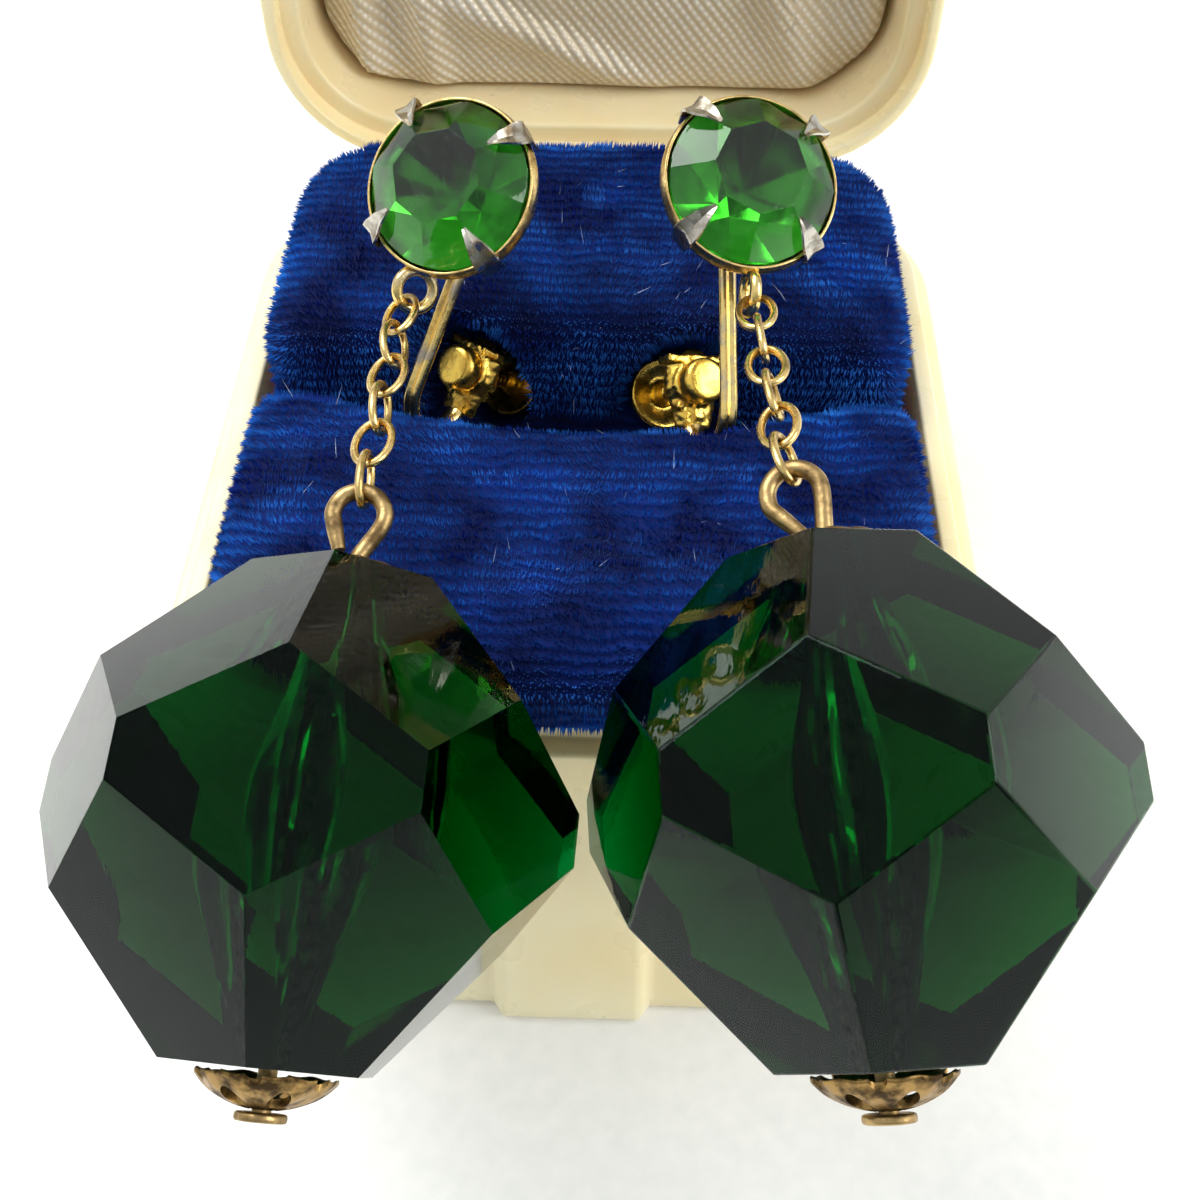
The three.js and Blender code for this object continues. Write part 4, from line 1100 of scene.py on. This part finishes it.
def second_strap():
    """A thin strap from under the cup's edge that joins the left limb in a long V."""
    path = smooth_path([(1.25, 0.9, -0.1), (1.05, -1.4, 0.05), (0.55, -4.2, 0.18), (0.3, -7.5, 0.12)], 8)
    halves = np.interp(np.linspace(0, 1, len(path)), [0, 0.7, 1], [0.42, 0.36, 0.12])
    return sweep(path, [oval(half, 0.75 * half, 16) for half in halves], (1, 0, 0))


# Lumps left on the casting, each with its centre and radius in mm.
CAST_LUMPS = (
    (1.55, -0.6, -0.6, 0.42),
    (1.2, -1.5, -0.75, 0.36),
    (-1.6, 0.2, -0.6, 0.38),
    (-1.2, -1.6, 0.5, 0.33),
)


def cast_barrel(name, place):
    """The rough nugget: strap end, barrel, flange, lump and collar melted into one casting."""
    barrel_z = -EAR_GAP
    at_barrel = Matrix.Translation((0, -SCREW_DROP, barrel_z))
    half = BARREL_LENGTH / 2
    side_line = [(0, -half), (BARREL_RADIUS, -half), (BARREL_RADIUS, half), (0, half)]
    drum = turned(lathe(rounded(side_line, 0.3), 32), at_barrel)
    shoulder_y = -SCREW_DROP + BARREL_RADIUS
    flange_half = 0.28
    flange_rings = [
        [(1.15 * x * PADDLE_HALF_WIDTH, shoulder_y + y, barrel_z + s * half * 0.95) for x, y in
         ((-1, -flange_half), (1, -flange_half), (1, flange_half), (-1, flange_half))]
        for s in (-1, 1)
    ]
    bend_y = EAR_GAP / 2 - EAR_WIRE_DROP
    strap_rings = []
    for y, width, depth in (
        (bend_y - 0.4 * EAR_GAP / 2, 0.7, 0.4),
        (bend_y + 0.9, 0.92, 0.5),
        (-SCREW_DROP - 0.4, 1.1, 0.62),
        (shoulder_y, 1.05, 0.5),
    ):
        section = oval(width * PADDLE_HALF_WIDTH, depth * PADDLE_THICKNESS, 24)
        strap_rings.append([(u, y, barrel_z + v) for u, v in section])
    at_shoulder = Matrix.Translation((0.1, shoulder_y, barrel_z))
    lump = turned(lathe(ball_profile(BUMP_RADIUS, 13), 24), at_shoulder @ Matrix.Diagonal((1, 0.75, 0.8, 1)))
    collar = lathe(rounded([(0, -0.45), (1.15, -0.45), (1.15, 0.45), (0, 0.45)], 0.15), 28)
    collar = turned(collar, Matrix.Translation((0, -SCREW_DROP, barrel_z - half - 0.2)))
    nubs = []
    for x, y, z, size in CAST_LUMPS:
        ball = lathe(ball_profile(size, 9), 16)
        nubs.append(turned(ball, at_barrel @ Matrix.Translation((x, y, z))))
    parts = joined(drum, skin(flange_rings), skin(strap_rings), lump, collar, *nubs)
    made = piece(name, parts, CAST_GOLD, place=place)
    with_modifier(made, "REMESH", mode="VOXEL", voxel_size=CAST_VOXEL * MM, use_smooth_shade=True)
    with_modifier(made, "SMOOTH", factor=0.5, iterations=3)
    for vertex in made.data.vertices:
        rough = noise.noise(vertex.co / (0.8 * MM)) + 0.5 * noise.noise(vertex.co / (0.35 * MM))
        vertex.co += vertex.normal * rough * CAST_ROUGHNESS * MM
    bore_radius = SCREW_RADIUS + SCREW_CLEARANCE
    bore = lathe([(bore_radius, -3 * BARREL_LENGTH), (bore_radius, 3 * BARREL_LENGTH)], 28)
    return carve(made, piece("screw_bore", bore, CAST_GOLD, place=place @ at_barrel), sharp_deg=60)


def absorbed(main, others):
    """Joins other pieces into the first, keeping each one's material."""
    shaped = bmesh.new()
    shaped.from_mesh(main.data)
    for other in others:
        first = len(shaped.faces)
        shaped.from_mesh(other.data)
        shaped.faces.ensure_lookup_table()
        slot = len(main.data.materials)
        for face in shaped.faces[first:]:
            face.material_index = slot
        main.data.materials.append(other.data.materials[0])
    shaped.to_mesh(main.data)
    shaped.free()
    for other in others:
        bpy.data.objects.remove(other)
    return main


for lie in EARRINGS:
    side = lie["side"]
    place = fitting_place(lie)
    claws = []
    for i in range(CLAW_COUNT):
        around = 2 * math.pi * (i + 0.5) / CLAW_COUNT + math.radians(lie["claw_turn"])
        claws.append(turned(claw(), Matrix.Rotation(around, 4, "Z")))
    fitting = piece(f"ear_fitting_metal_{side}", joined(*claws), SILVER_TONE, 35, place)
    cup = piece("cup", cup_shell(), PALE_GOLD, 35, place)
    lug_centre = (0, -CUP_OUTER - 0.75 * LUG_RADIUS, -LUG_DEPTH)
    lug_ring = ring_part(LUG_RADIUS, LUG_WIRE, lie["lug_turn"], lug_centre)
    lug = piece("lug", lug_ring, GOLD_PLATE, place=place)
    wires = [ear_limb(), second_strap()] if side == "left" else [ear_limb()]
    limb = piece("limb", joined(*wires), GOLD_PLATE, place=ear_wire_place(lie))
    barrel = cast_barrel("barrel", ear_wire_place(lie))
    absorbed(fitting, [cup, lug, limb, barrel])
    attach(fitting, "box")
    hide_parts(f"ear_fitting_{side}")
    print(fitting.name, triangles(fitting))

# %% [markdown]
# ## The screw and the ear pad
# The screw is turned on a lathe: a dished thumb disc, a threaded shank and a ball that the ear pad
# is closed over. The thread is real, a helix cut into the shank, so each ring of points has its
# own radius at every angle.

# %% Screw and ear pad
EAR_PAD_BACK = -EAR_GAP + BARREL_LENGTH / 2 + FIT_GAP
THUMB_DISC_Z = -EAR_GAP - BARREL_LENGTH / 2 - THUMB_DISC_OUT
THREAD_DEPTH = 0.11
SCREW_SIDES = 40


def thumb_screw():
    disc = THUMB_DISC_Z
    ball_back = EAR_PAD_BACK + EAR_PAD_WALL + SCREW_CLEARANCE
    ball_front = EAR_PAD_BACK + EAR_PAD_THICKNESS - EAR_PAD_WALL - SCREW_CLEARANCE
    neck = BALL_RADIUS - 2 * SCREW_CLEARANCE
    head = rounded(
        [
            (0, disc - 1.1 * THUMB_DISC_DISH),
            (0.35 * THUMB_DISC_RADIUS, disc - THUMB_DISC_DISH),
            (THUMB_DISC_RADIUS, disc),
            (THUMB_DISC_RADIUS, disc + THUMB_DISC_EDGE),
            (0.86 * THUMB_DISC_RADIUS, disc + THUMB_DISC_EDGE),
            (0.4 * THUMB_DISC_RADIUS, disc + THUMB_DISC_EDGE - THUMB_DISC_DISH),
            (1.5 * SCREW_RADIUS, disc + 0.7 * THUMB_DISC_EDGE),
            (SCREW_RADIUS, disc + 2 * THUMB_DISC_EDGE),
        ],
        [0, 0.6, 0.15, 0.15, 0.4, 0.8, 0.3, 0],
    )
    start = disc + 2 * THUMB_DISC_EDGE
    end = EAR_PAD_BACK - SCREW_CLEARANCE
    shank = [(SCREW_RADIUS, z) for z in np.arange(start, end, THREAD_PITCH / 8)]
    ball = [
        (neck, EAR_PAD_BACK),
        (neck, ball_back),
        (BALL_RADIUS, ball_back),
        (BALL_RADIUS, ball_front),
        (0, ball_front),
    ]
    angles = np.linspace(0, 2 * math.pi, SCREW_SIDES, endpoint=False)
    rings = []
    for radius, z in [*head, *shank, *rounded(ball, 0.12)]:
        cut = 0
        if start + THREAD_PITCH < z < end - THREAD_PITCH:
            turn = (z / THREAD_PITCH - angles / (2 * math.pi)) % 1
            cut = THREAD_DEPTH * (1 - np.abs(2 * turn - 1))
        local = np.maximum(radius - cut, 1e-4) * np.ones(SCREW_SIDES)
        rings.append(np.stack([local * np.cos(angles), local * np.sin(angles), np.full(SCREW_SIDES, z)], 1))
    return skin(rings)


def ear_pad_cup():
    cavity = BALL_RADIUS + SCREW_CLEARANCE
    mouth = BALL_RADIUS - SCREW_CLEARANCE
    face = EAR_PAD_BACK + EAR_PAD_THICKNESS
    inside = face - EAR_PAD_WALL
    profile = [
        (0, inside),
        (cavity, inside),
        (cavity, EAR_PAD_BACK + EAR_PAD_WALL),
        (mouth, EAR_PAD_BACK + EAR_PAD_WALL),
        (mouth, EAR_PAD_BACK),
        (EAR_PAD_RADIUS, EAR_PAD_BACK),
        (EAR_PAD_RADIUS, inside),
        (EAR_PAD_RADIUS - EAR_PAD_WALL, face),
        (0, face),
    ]
    return lathe(rounded(profile, [0, 0.08, 0.05, 0.05, 0.05, 0.15, 0.25, 0.25, 0]), SCREW_SIDES)


for lie in EARRINGS:
    side = lie["side"]
    place = ear_wire_place(lie) @ Matrix.Translation((0, -SCREW_DROP, 0))
    screw = piece(f"thumb_screw_turned_{side}", thumb_screw(), CAST_GOLD, 30, place)
    cup = piece(f"ear_pad_cup_{side}", ear_pad_cup(), CAST_GOLD, 40, place)
    for made, body, node_name in ((screw, "thumb_screw", "ear_screw"), (cup, "pad_slide", "ear_pad")):
        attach(made, f"{body}_{side}")
        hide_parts(f"{node_name}_{side}")
        print(made.name, triangles(made))

# %% [markdown]
# ## Room for the ear wires
# Foam gives way where the stiff wires are pushed in, and the cloth keeps a dark hollow round them.
# Every point of a pad that is too near the metal is moved straight away from its nearest point, as
# a cloth stops at what it touches, and the pads are relaxed a little after each pass. The screws
# count at both ends of their travel, so that they still turn freely.

# %% Room for the ear wires
HOLLOW = 1.1
SCREW_TRAVEL = 2.5
metal = [o for o in bpy.data.objects if o.name.startswith(("ear_fitting_metal", "thumb_screw_turned"))]
metal_shape = bmesh.new()
for made in metal:
    metal_shape.from_mesh(made.data)
    if made.name.startswith("thumb_screw"):
        lie = EARRINGS[made.name.endswith("right")]
        forward = (ear_wire_place(lie).to_3x3() @ Vector((0, 0, SCREW_TRAVEL))) * MM
        for share in (0.5, 1):
            driven_in = made.data.copy()
            driven_in.transform(Matrix.Translation(forward * share))
            metal_shape.from_mesh(driven_in)
            bpy.data.meshes.remove(driven_in)
metal_tree = BVHTree.FromBMesh(metal_shape)
metal_mesh = bpy.data.meshes.new("metal_in_the_slot")
metal_shape.to_mesh(metal_mesh)
metal_shape.free()
metal_in_slot = bpy.data.objects.new("metal_in_the_slot", metal_mesh)
for pad in (pad_front, pad_back):
    moved = 0
    for _ in range(3):
        for vertex in pad.data.vertices:
            nearest, _, _, away = metal_tree.find_nearest(vertex.co, HOLLOW * MM)
            if nearest is not None and away > 1e-6:
                vertex.co += (vertex.co - nearest) / away * (HOLLOW * MM - away)
                moved += 1
        with_modifier(pad, "SMOOTH", factor=0.4, iterations=2)
    print(pad.name, moved, "points moved")

# %% [markdown]
# ## The velvet's pile
# Velvet is thousands of short fibres standing on a woven ground. Geometry Nodes scatter them over
# the pads: points on the faces above the box's rim, a thin three-sided spike on each, turned to
# the surface and leaned by a slow noise, because real pile lies in brushed patches. The lean is
# what makes velvet light in one place and dark in the next. The pile is woven in rows, so fibres
# are longest on a row and short between two, and none grow where the metal presses. The same
# tree, with a few long fibres that lean right over, strews the pads with cotton lint.

# %% Pile tree
PILE_LENGTH = 0.55
PILE_WIDTH = 0.15
PILE_PER_SQUARE_MM = 20
PILE_LEAN_DEG = 42
PATCH_SIZE = 7


def pile_tree():
    tree = bpy.data.node_groups.new("velvet pile", "GeometryNodeTree")
    sockets = tree.interface
    sockets.new_socket("Pad", in_out="INPUT", socket_type="NodeSocketGeometry")
    for name in ("Density", "Length", "Width", "Lean", "Lowest", "Clear"):
        sockets.new_socket(name, in_out="INPUT", socket_type="NodeSocketFloat")
    sockets.new_socket("Metal", in_out="INPUT", socket_type="NodeSocketObject")
    sockets.new_socket("Seed", in_out="INPUT", socket_type="NodeSocketInt")
    sockets.new_socket("Material", in_out="INPUT", socket_type="NodeSocketMaterial")
    sockets.new_socket("Pile", in_out="OUTPUT", socket_type="NodeSocketGeometry")
    given = add_node(tree, "NodeGroupInput").outputs
    where = add_node(tree, "GeometryNodeInputPosition").outputs[0]
    height = add_node(tree, "ShaderNodeSeparateXYZ", {0: where}).outputs["Z"]
    shows = {0: height, 1: given["Lowest"]}
    above = add_node(tree, "FunctionNodeCompare", shows, operation="GREATER_THAN").outputs[0]
    metal = add_node(tree, "GeometryNodeObjectInfo", {"Object": given["Metal"]}).outputs["Geometry"]
    near = add_node(tree, "GeometryNodeProximity", {0: metal}).outputs["Distance"]
    free = add_node(tree, "FunctionNodeCompare", {0: near, 1: given["Clear"]}, operation="GREATER_THAN")
    grows = add_node(tree, "FunctionNodeBooleanMath", {0: above, 1: free.outputs[0]}).outputs[0]
    scatter = {"Mesh": given["Pad"], "Selection": grows, "Density": given["Density"], "Seed": given["Seed"]}
    points = add_node(tree, "GeometryNodeDistributePointsOnFaces", scatter).outputs
    spike = {"Vertices": 3, "Radius Bottom": given["Width"], "Depth": given["Length"]}
    fibre = add_node(tree, "GeometryNodeMeshCone", spike, fill_type="NONE").outputs[0]
    patches = {"Vector": where, "Scale": 1 / (PATCH_SIZE * MM), "Detail": 2}
    wander = add_node(tree, "ShaderNodeTexNoise", patches).outputs["Color"]
    centred = add_node(tree, "ShaderNodeVectorMath", {0: wander, 1: (0.5, 0.5, 0.5)}, operation="SUBTRACT")
    lean = {0: centred.outputs[0], "Scale": given["Lean"]}
    leaning = add_node(tree, "ShaderNodeVectorMath", lean, operation="SCALE").outputs[0]
    as_turn = add_node(tree, "FunctionNodeEulerToRotation", {0: leaning}).outputs[0]
    stand = {0: points["Rotation"], 1: as_turn}
    upright = add_node(tree, "FunctionNodeRotateRotation", stand, rotation_space="LOCAL").outputs[0]
    chance = add_node(tree, "FunctionNodeRandomValue", {2: 0.7, 3: 1.15, "Seed": given["Seed"]}).outputs[1]
    on_row = spread(tree, pile_rows(tree, where), 0.65, 1.1)
    uneven = add_node(tree, "ShaderNodeMath", {0: chance, 1: on_row}, operation="MULTIPLY").outputs[0]
    laid = {"Points": points["Points"], "Instance": fibre, "Rotation": upright, "Scale": uneven}
    fibres = add_node(tree, "GeometryNodeInstanceOnPoints", laid).outputs[0]
    real = add_node(tree, "GeometryNodeRealizeInstances", {0: fibres}).outputs[0]
    dressed = {"Geometry": real, "Material": given["Material"]}
    done = add_node(tree, "GeometryNodeSetMaterial", dressed).outputs[0]
    add_node(tree, "NodeGroupOutput", {0: done})
    return tree


def grown(source, name, tree, values):
    """Runs a Geometry Nodes tree on a copy of a piece, and keeps what it gives as a plain mesh."""
    made = bpy.data.objects.new(name, source.data.copy())
    bpy.context.scene.collection.objects.link(made)
    modifier = made.modifiers.new("nodes", "NODES")
    modifier.node_group = tree
    for item in tree.interface.items_tree:
        if item.in_out == "INPUT" and item.name in values:
            modifier[item.identifier] = values[item.name]
    return settled(made)


PILE_TREE = pile_tree()
LINT_PER_SQUARE_MM = 0.035
LINT_LENGTH = 1.5
LINT_WIDTH = 0.09


def cotton_lint():
    material, tree, shader, where = new_material("white cotton lint", Roughness=0.9, Sheen_Weight=0.3)
    tint = noise_amount(tree, where, 8, 0.4, 0.6)
    tree.links.new(mixed(tree, tint, "#cdd6e8", "#8fa6d6"), shader.inputs["Base Color"])
    return material


COTTON_LINT = cotton_lint()
for seed, pad in enumerate((pad_front, pad_back)):
    values = dict(
        Density=PILE_PER_SQUARE_MM / MM**2,
        Length=PILE_LENGTH * MM,
        Width=PILE_WIDTH / 2 * MM,
        Lean=2 * math.radians(PILE_LEAN_DEG),
        Lowest=(BASE_HEIGHT - 1) * MM,
        Clear=0.7 * HOLLOW * MM,
        Metal=metal_in_slot,
        Seed=seed + 3,
        Material=VELVET_PILE,
    )
    pile = grown(pad, pad.name.replace("pad", "pile"), PILE_TREE, values)
    strewn = dict(
        Density=LINT_PER_SQUARE_MM / MM**2,
        Length=LINT_LENGTH * MM,
        Width=LINT_WIDTH / 2 * MM,
        Lean=2 * math.radians(160),
        Seed=seed + 11,
        Material=COTTON_LINT,
    )
    lint = grown(pad, pad.name.replace("pad", "lint"), PILE_TREE, values | strewn)
    for made in (pile, lint):
        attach(made, "box")
        print(made.name, triangles(made))

# %% [markdown]
# ## The chains
# Every link is the same oval of wire, and only its place and turn differ. So Geometry Nodes make
# one link from a circle swept round an oval, and put a copy on each point of a small helper mesh.
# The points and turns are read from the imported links: the longest way of a link's vertices is its
# length, and the shortest is the way that it faces.

# %% Link tree
def link_tree():
    tree = bpy.data.node_groups.new("chain links", "GeometryNodeTree")
    sockets = tree.interface
    sockets.new_socket("Places", in_out="INPUT", socket_type="NodeSocketGeometry")
    for name in ("Half Length", "Half Width", "Wire Radius"):
        sockets.new_socket(name, in_out="INPUT", socket_type="NodeSocketFloat")
    sockets.new_socket("Material", in_out="INPUT", socket_type="NodeSocketMaterial")
    sockets.new_socket("Chain", in_out="OUTPUT", socket_type="NodeSocketGeometry")
    given = add_node(tree, "NodeGroupInput").outputs
    unit = {"Resolution": 40, "Radius": 1.0}
    circle = add_node(tree, "GeometryNodeCurvePrimitiveCircle", unit).outputs[0]
    lengths = {"X": given["Half Length"], "Y": given["Half Width"], "Z": 1.0}
    scale = add_node(tree, "ShaderNodeCombineXYZ", lengths).outputs[0]
    ring = add_node(tree, "GeometryNodeTransform", {"Geometry": circle, "Scale": scale}).outputs[0]
    round_wire = {"Resolution": 14, "Radius": given["Wire Radius"]}
    wire = add_node(tree, "GeometryNodeCurvePrimitiveCircle", round_wire)
    along_ring = {"Curve": ring, "Profile Curve": wire.outputs[0]}
    link = add_node(tree, "GeometryNodeCurveToMesh", along_ring).outputs[0]
    turn = add_node(
        tree, "GeometryNodeInputNamedAttribute", {"Name": "turn"}, data_type="FLOAT_VECTOR"
    ).outputs[0]
    as_turn = add_node(tree, "FunctionNodeEulerToRotation", {0: turn}).outputs[0]
    laid = {"Points": given["Places"], "Instance": link, "Rotation": as_turn}
    links = add_node(tree, "GeometryNodeInstanceOnPoints", laid).outputs[0]
    real = add_node(tree, "GeometryNodeRealizeInstances", {0: links}).outputs[0]
    smooth = add_node(tree, "GeometryNodeSetShadeSmooth", {"Geometry": real}).outputs[0]
    dressed = {"Geometry": smooth, "Material": given["Material"]}
    done = add_node(tree, "GeometryNodeSetMaterial", dressed).outputs[0]
    add_node(tree, "NodeGroupOutput", {0: done})
    return tree


LINK_TREE = link_tree()
for lie in EARRINGS:
    side = lie["side"]
    link_names = sorted(name for name in nodes if name.startswith("link_") and name.endswith(side))
    centres = []
    turns = []
    for name in link_names:
        points = np.unique(np.round([v.co for v in nodes[name].data.vertices], 7), axis=0)
        centre = points.mean(0)
        _, _, ways = np.linalg.svd(points - centre)
        along, across = Vector(ways[0]), Vector(ways[1])
        reach = np.abs((points - centre) @ np.array([along, across]).T).max(0)
        basis = Matrix((along, across, along.cross(across))).transposed()
        centres.append(Vector(centre))
        turns.append(basis.to_euler())
    helper_mesh = bpy.data.meshes.new("link_places")
    helper_mesh.from_pydata(centres, [], [])
    attribute = helper_mesh.attributes.new("turn", "FLOAT_VECTOR", "POINT")
    for entry, turn in zip(attribute.data, turns):
        entry.vector = turn
    helper = bpy.data.objects.new("link_places", helper_mesh)
    sizes = {
        "Half Length": reach[0] - LINK_WIRE / 2 * MM,
        "Half Width": reach[1] - LINK_WIRE / 2 * MM,
        "Wire Radius": LINK_WIRE / 2 * MM,
        "Material": PALE_GOLD,
    }
    chain = grown(helper, f"chain_{side}", LINK_TREE, sizes)
    bpy.data.objects.remove(helper)
    bmesh_chain = bmesh.new()
    bmesh_chain.from_mesh(chain.data)
    bmesh.ops.recalc_face_normals(bmesh_chain, faces=bmesh_chain.faces)
    bmesh_chain.to_mesh(chain.data)
    bmesh_chain.free()
    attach(chain, "box")
    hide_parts(*link_names)
    print(chain.name, len(link_names), "links,", triangles(chain), "triangles")

# %% [markdown]
# ## The headpins
# A headpin is one soft brass wire: a flat head under the bottom cap, a straight run through the
# bead, and a teardrop eye that was turned by hand with pliers. It is swept along its path, and
# the cut end of the wire thins a little where the pliers nipped it.

# %% Headpins
HEADPIN_TOP = BEAD_HEIGHT / 2 + CAP_GAP + TOP_CAP_RISE + CAP_THICKNESS
HEADPIN_BOTTOM = -BEAD_HEIGHT / 2 - 2 * CAP_GAP - BOTTOM_CAP_RISE - CAP_THICKNESS


def headpin(eye_lean):
    lean = Matrix.Translation((0, 0, HEADPIN_TOP)) @ Matrix.Rotation(math.radians(eye_lean), 4, "Y")
    leaning = lambda x, height: tuple(lean @ Vector((x, 0, height)))
    eye_offset = 0.25 * EYE_RADIUS
    chosen = [(0, 0, HEADPIN_BOTTOM), (0, 0, 0), (0, 0, HEADPIN_TOP - 0.33 * EYE_HEIGHT)]
    chosen.append(leaning(-0.1 * EYE_RADIUS, 0.13 * EYE_HEIGHT))
    for deg in (200, 160, 120, 80, 40, 0, -35):
        a = math.radians(deg)
        chosen.append(leaning(eye_offset + EYE_RADIUS * math.cos(a), EYE_HEIGHT + EYE_RADIUS * math.sin(a)))
    chosen.append(leaning(0.65 * EYE_RADIUS, 0.25 * EYE_HEIGHT))
    path = smooth_path(chosen, 8)
    shares = np.linspace(0, 1, len(path))
    thin = np.interp(shares, [0, 0.93, 1], [1, 1, 0.8]) * PIN_RADIUS
    wire = sweep(path, [oval(r, r, 20) for r in thin], (0, 1, 0))
    half = PIN_HEAD_THICKNESS / 2
    head_line = [(0, -half), (PIN_HEAD_RADIUS, -half), (PIN_HEAD_RADIUS, half), (0, half)]
    head = lathe(rounded(head_line, 0.18), 40)
    head = turned(head, Matrix.Translation((0, 0, HEADPIN_BOTTOM + SOLDER / 2 - half)))
    return joined(wire, head)


for lie in EARRINGS:
    side = lie["side"]
    made = piece(f"headpin_wire_{side}", headpin(lie["eye_lean"]), PATINA_BRASS, 40, drop_place(lie))
    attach(made, "box")
    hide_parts(f"headpin_{side}")
    print(made.name, triangles(made))

# %% [markdown]
# ## The pierced caps
# Each cap is a stamped brass flower: a thin dome with petals between oval holes. The dome is
# turned, its petals are lifted a little, and the holes and the notches round its rim are cut.

# %% Caps
PETAL_LIFT = 0.1


def pierced_cap(name, rise, place):
    t = CAP_THICKNESS
    hole = PIN_RADIUS + PIN_CLEARANCE
    outer = [(hole, rise), (0.45 * CAP_RADIUS, 0.86 * rise), (0.8 * CAP_RADIUS, 0.42 * rise), (CAP_RADIUS, 0)]
    inner = [
        (CAP_RADIUS, 0.5 * t),
        (0.8 * CAP_RADIUS, 0.42 * rise + t),
        (0.45 * CAP_RADIUS, 0.86 * rise + t),
        (hole, rise + t),
    ]
    profile = rounded(outer + inner, [0, 0.8, 0.8, 0.08, 0.08, 0.8, 0.8, 0])
    sides = 96
    angles = np.linspace(0, 2 * math.pi, sides, endpoint=False)
    rings = []
    for radius, z in profile:
        lift = PETAL_LIFT * (radius / CAP_RADIUS) * (0.5 - 0.5 * np.cos(2 * CAP_HOLES * angles))
        rings.append(np.stack([radius * np.cos(angles), radius * np.sin(angles), z + lift], 1))
    made = piece(name, skin(rings, closed_rings=True), STAMPED_BRASS, place=place)
    cutters = []
    for i in range(CAP_HOLES):
        turn = Matrix.Rotation(2 * math.pi * i / CAP_HOLES, 4, "Z")
        half_turn = Matrix.Rotation(2 * math.pi * (i + 0.5) / CAP_HOLES, 4, "Z")
        post = lathe([(0.15 * CAP_RADIUS, -3), (0.15 * CAP_RADIUS, 3 + rise)], 20)
        notch = lathe([(0.13 * CAP_RADIUS, -3), (0.13 * CAP_RADIUS, 3 + rise)], 16)
        outward = turn @ Matrix.Translation((0.62 * CAP_RADIUS, 0, 0))
        cutters.append(turned(post, outward @ Matrix.Diagonal((1.5, 1, 1, 1))))
        cutters.append(turned(notch, half_turn @ Matrix.Translation((1.02 * CAP_RADIUS, 0, 0))))
    return carve(made, piece("cap_holes", joined(*cutters), STAMPED_BRASS, place=place), sharp_deg=35)


for lie in EARRINGS:
    side = lie["side"]
    up = drop_place(lie) @ Matrix.Translation((0, 0, BEAD_HEIGHT / 2 + CAP_GAP))
    turned_over = Matrix.Rotation(math.pi, 4, "X")
    down = drop_place(lie) @ Matrix.Translation((0, 0, -BEAD_HEIGHT / 2 - CAP_GAP)) @ turned_over
    top_cap = pierced_cap(f"pierced_cap_top_{side}", TOP_CAP_RISE, up)
    bottom_cap = pierced_cap(f"pierced_cap_bottom_{side}", BOTTOM_CAP_RISE, down)
    for made, node_name in ((top_cap, "cap_top"), (bottom_cap, "cap_bottom")):
        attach(made, "box")
        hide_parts(f"{node_name}_{side}")
        print(made.name, triangles(made))

# %% [markdown]
# ## Floor and light
# The photograph is taken on white card under bright soft light, so bright that the card burns out.
# A wide pale floor, one large soft light over the back and left, a second from the right and a
# pale room do the same. The room is darker low in front, where a photographer stands, so that the
# facets which face that way turn deep and dark. Colours are shown without a film curve, so that
# the card stays white.

# %% Floor and light
FLOOR_SIZE = 1500


def paper_white():
    material, tree, shader, where = new_material("white card", Roughness=0.7, Specular_IOR_Level=0.3)
    fibre = noise_amount(tree, where, 1.5, 0.3, 0.7, detail=6)
    tree.links.new(mixed(tree, fibre, "#f4f5f3", "#fbfbf9"), shader.inputs["Base Color"])
    raised(tree, shader, fibre, 0.02, 0.3)
    return material


half = FLOOR_SIZE / 2
corner_points = [(-half, -half, -0.02), (half, -half, -0.02), (half, half, -0.02), (-half, half, -0.02)]
floor_mesh = bpy.data.meshes.new("floor")
floor_mesh.from_pydata([Vector(p) * MM for p in corner_points], [], [(0, 1, 2, 3)])
floor_mesh.materials.append(paper_white())
floor = bpy.data.objects.new("floor", floor_mesh)
bpy.context.scene.collection.objects.link(floor)


def soft_light(name, place, size, watts, tint="#ffffff"):
    data = bpy.data.lights.new(name, "AREA")
    data.shape = "RECTANGLE"
    data.size, data.size_y = (s * MM for s in size)
    data.energy = watts
    data.color = linear(tint)[:3]
    light = bpy.data.objects.new(name, data)
    light.location = Vector(place) * MM
    aim = Vector((0, -10, 25)) - Vector(place)
    light.rotation_euler = aim.to_track_quat("-Z", "Y").to_euler()
    bpy.context.scene.collection.objects.link(light)


soft_light("window", (-190, 130, 400), (340, 300), 1.7)
soft_light("fill", (330, -80, 240), (240, 240), 0.8)

world = bpy.data.worlds.new("pale room")
bpy.context.scene.world = world
world.use_nodes = True
sky = world.node_tree
room = sky.nodes["Background"]
room.inputs["Strength"].default_value = 0.85
direction = add_node(sky, "ShaderNodeTexCoord").outputs["Generated"]
front_and_low = {0: direction, 1: (0, -1, -0.9)}
lowness = add_node(sky, "ShaderNodeVectorMath", front_and_low, operation="DOT_PRODUCT").outputs["Value"]
dark_side = add_node(sky, "ShaderNodeMapRange", {0: lowness, 1: 0.1, 2: 0.6}).outputs[0]
sky.links.new(mixed(sky, dark_side, "#f4f5f6", "#8f9698"), room.inputs["Color"])
bpy.context.scene.view_settings.view_transform = "Standard"
print("two lights and a pale room")
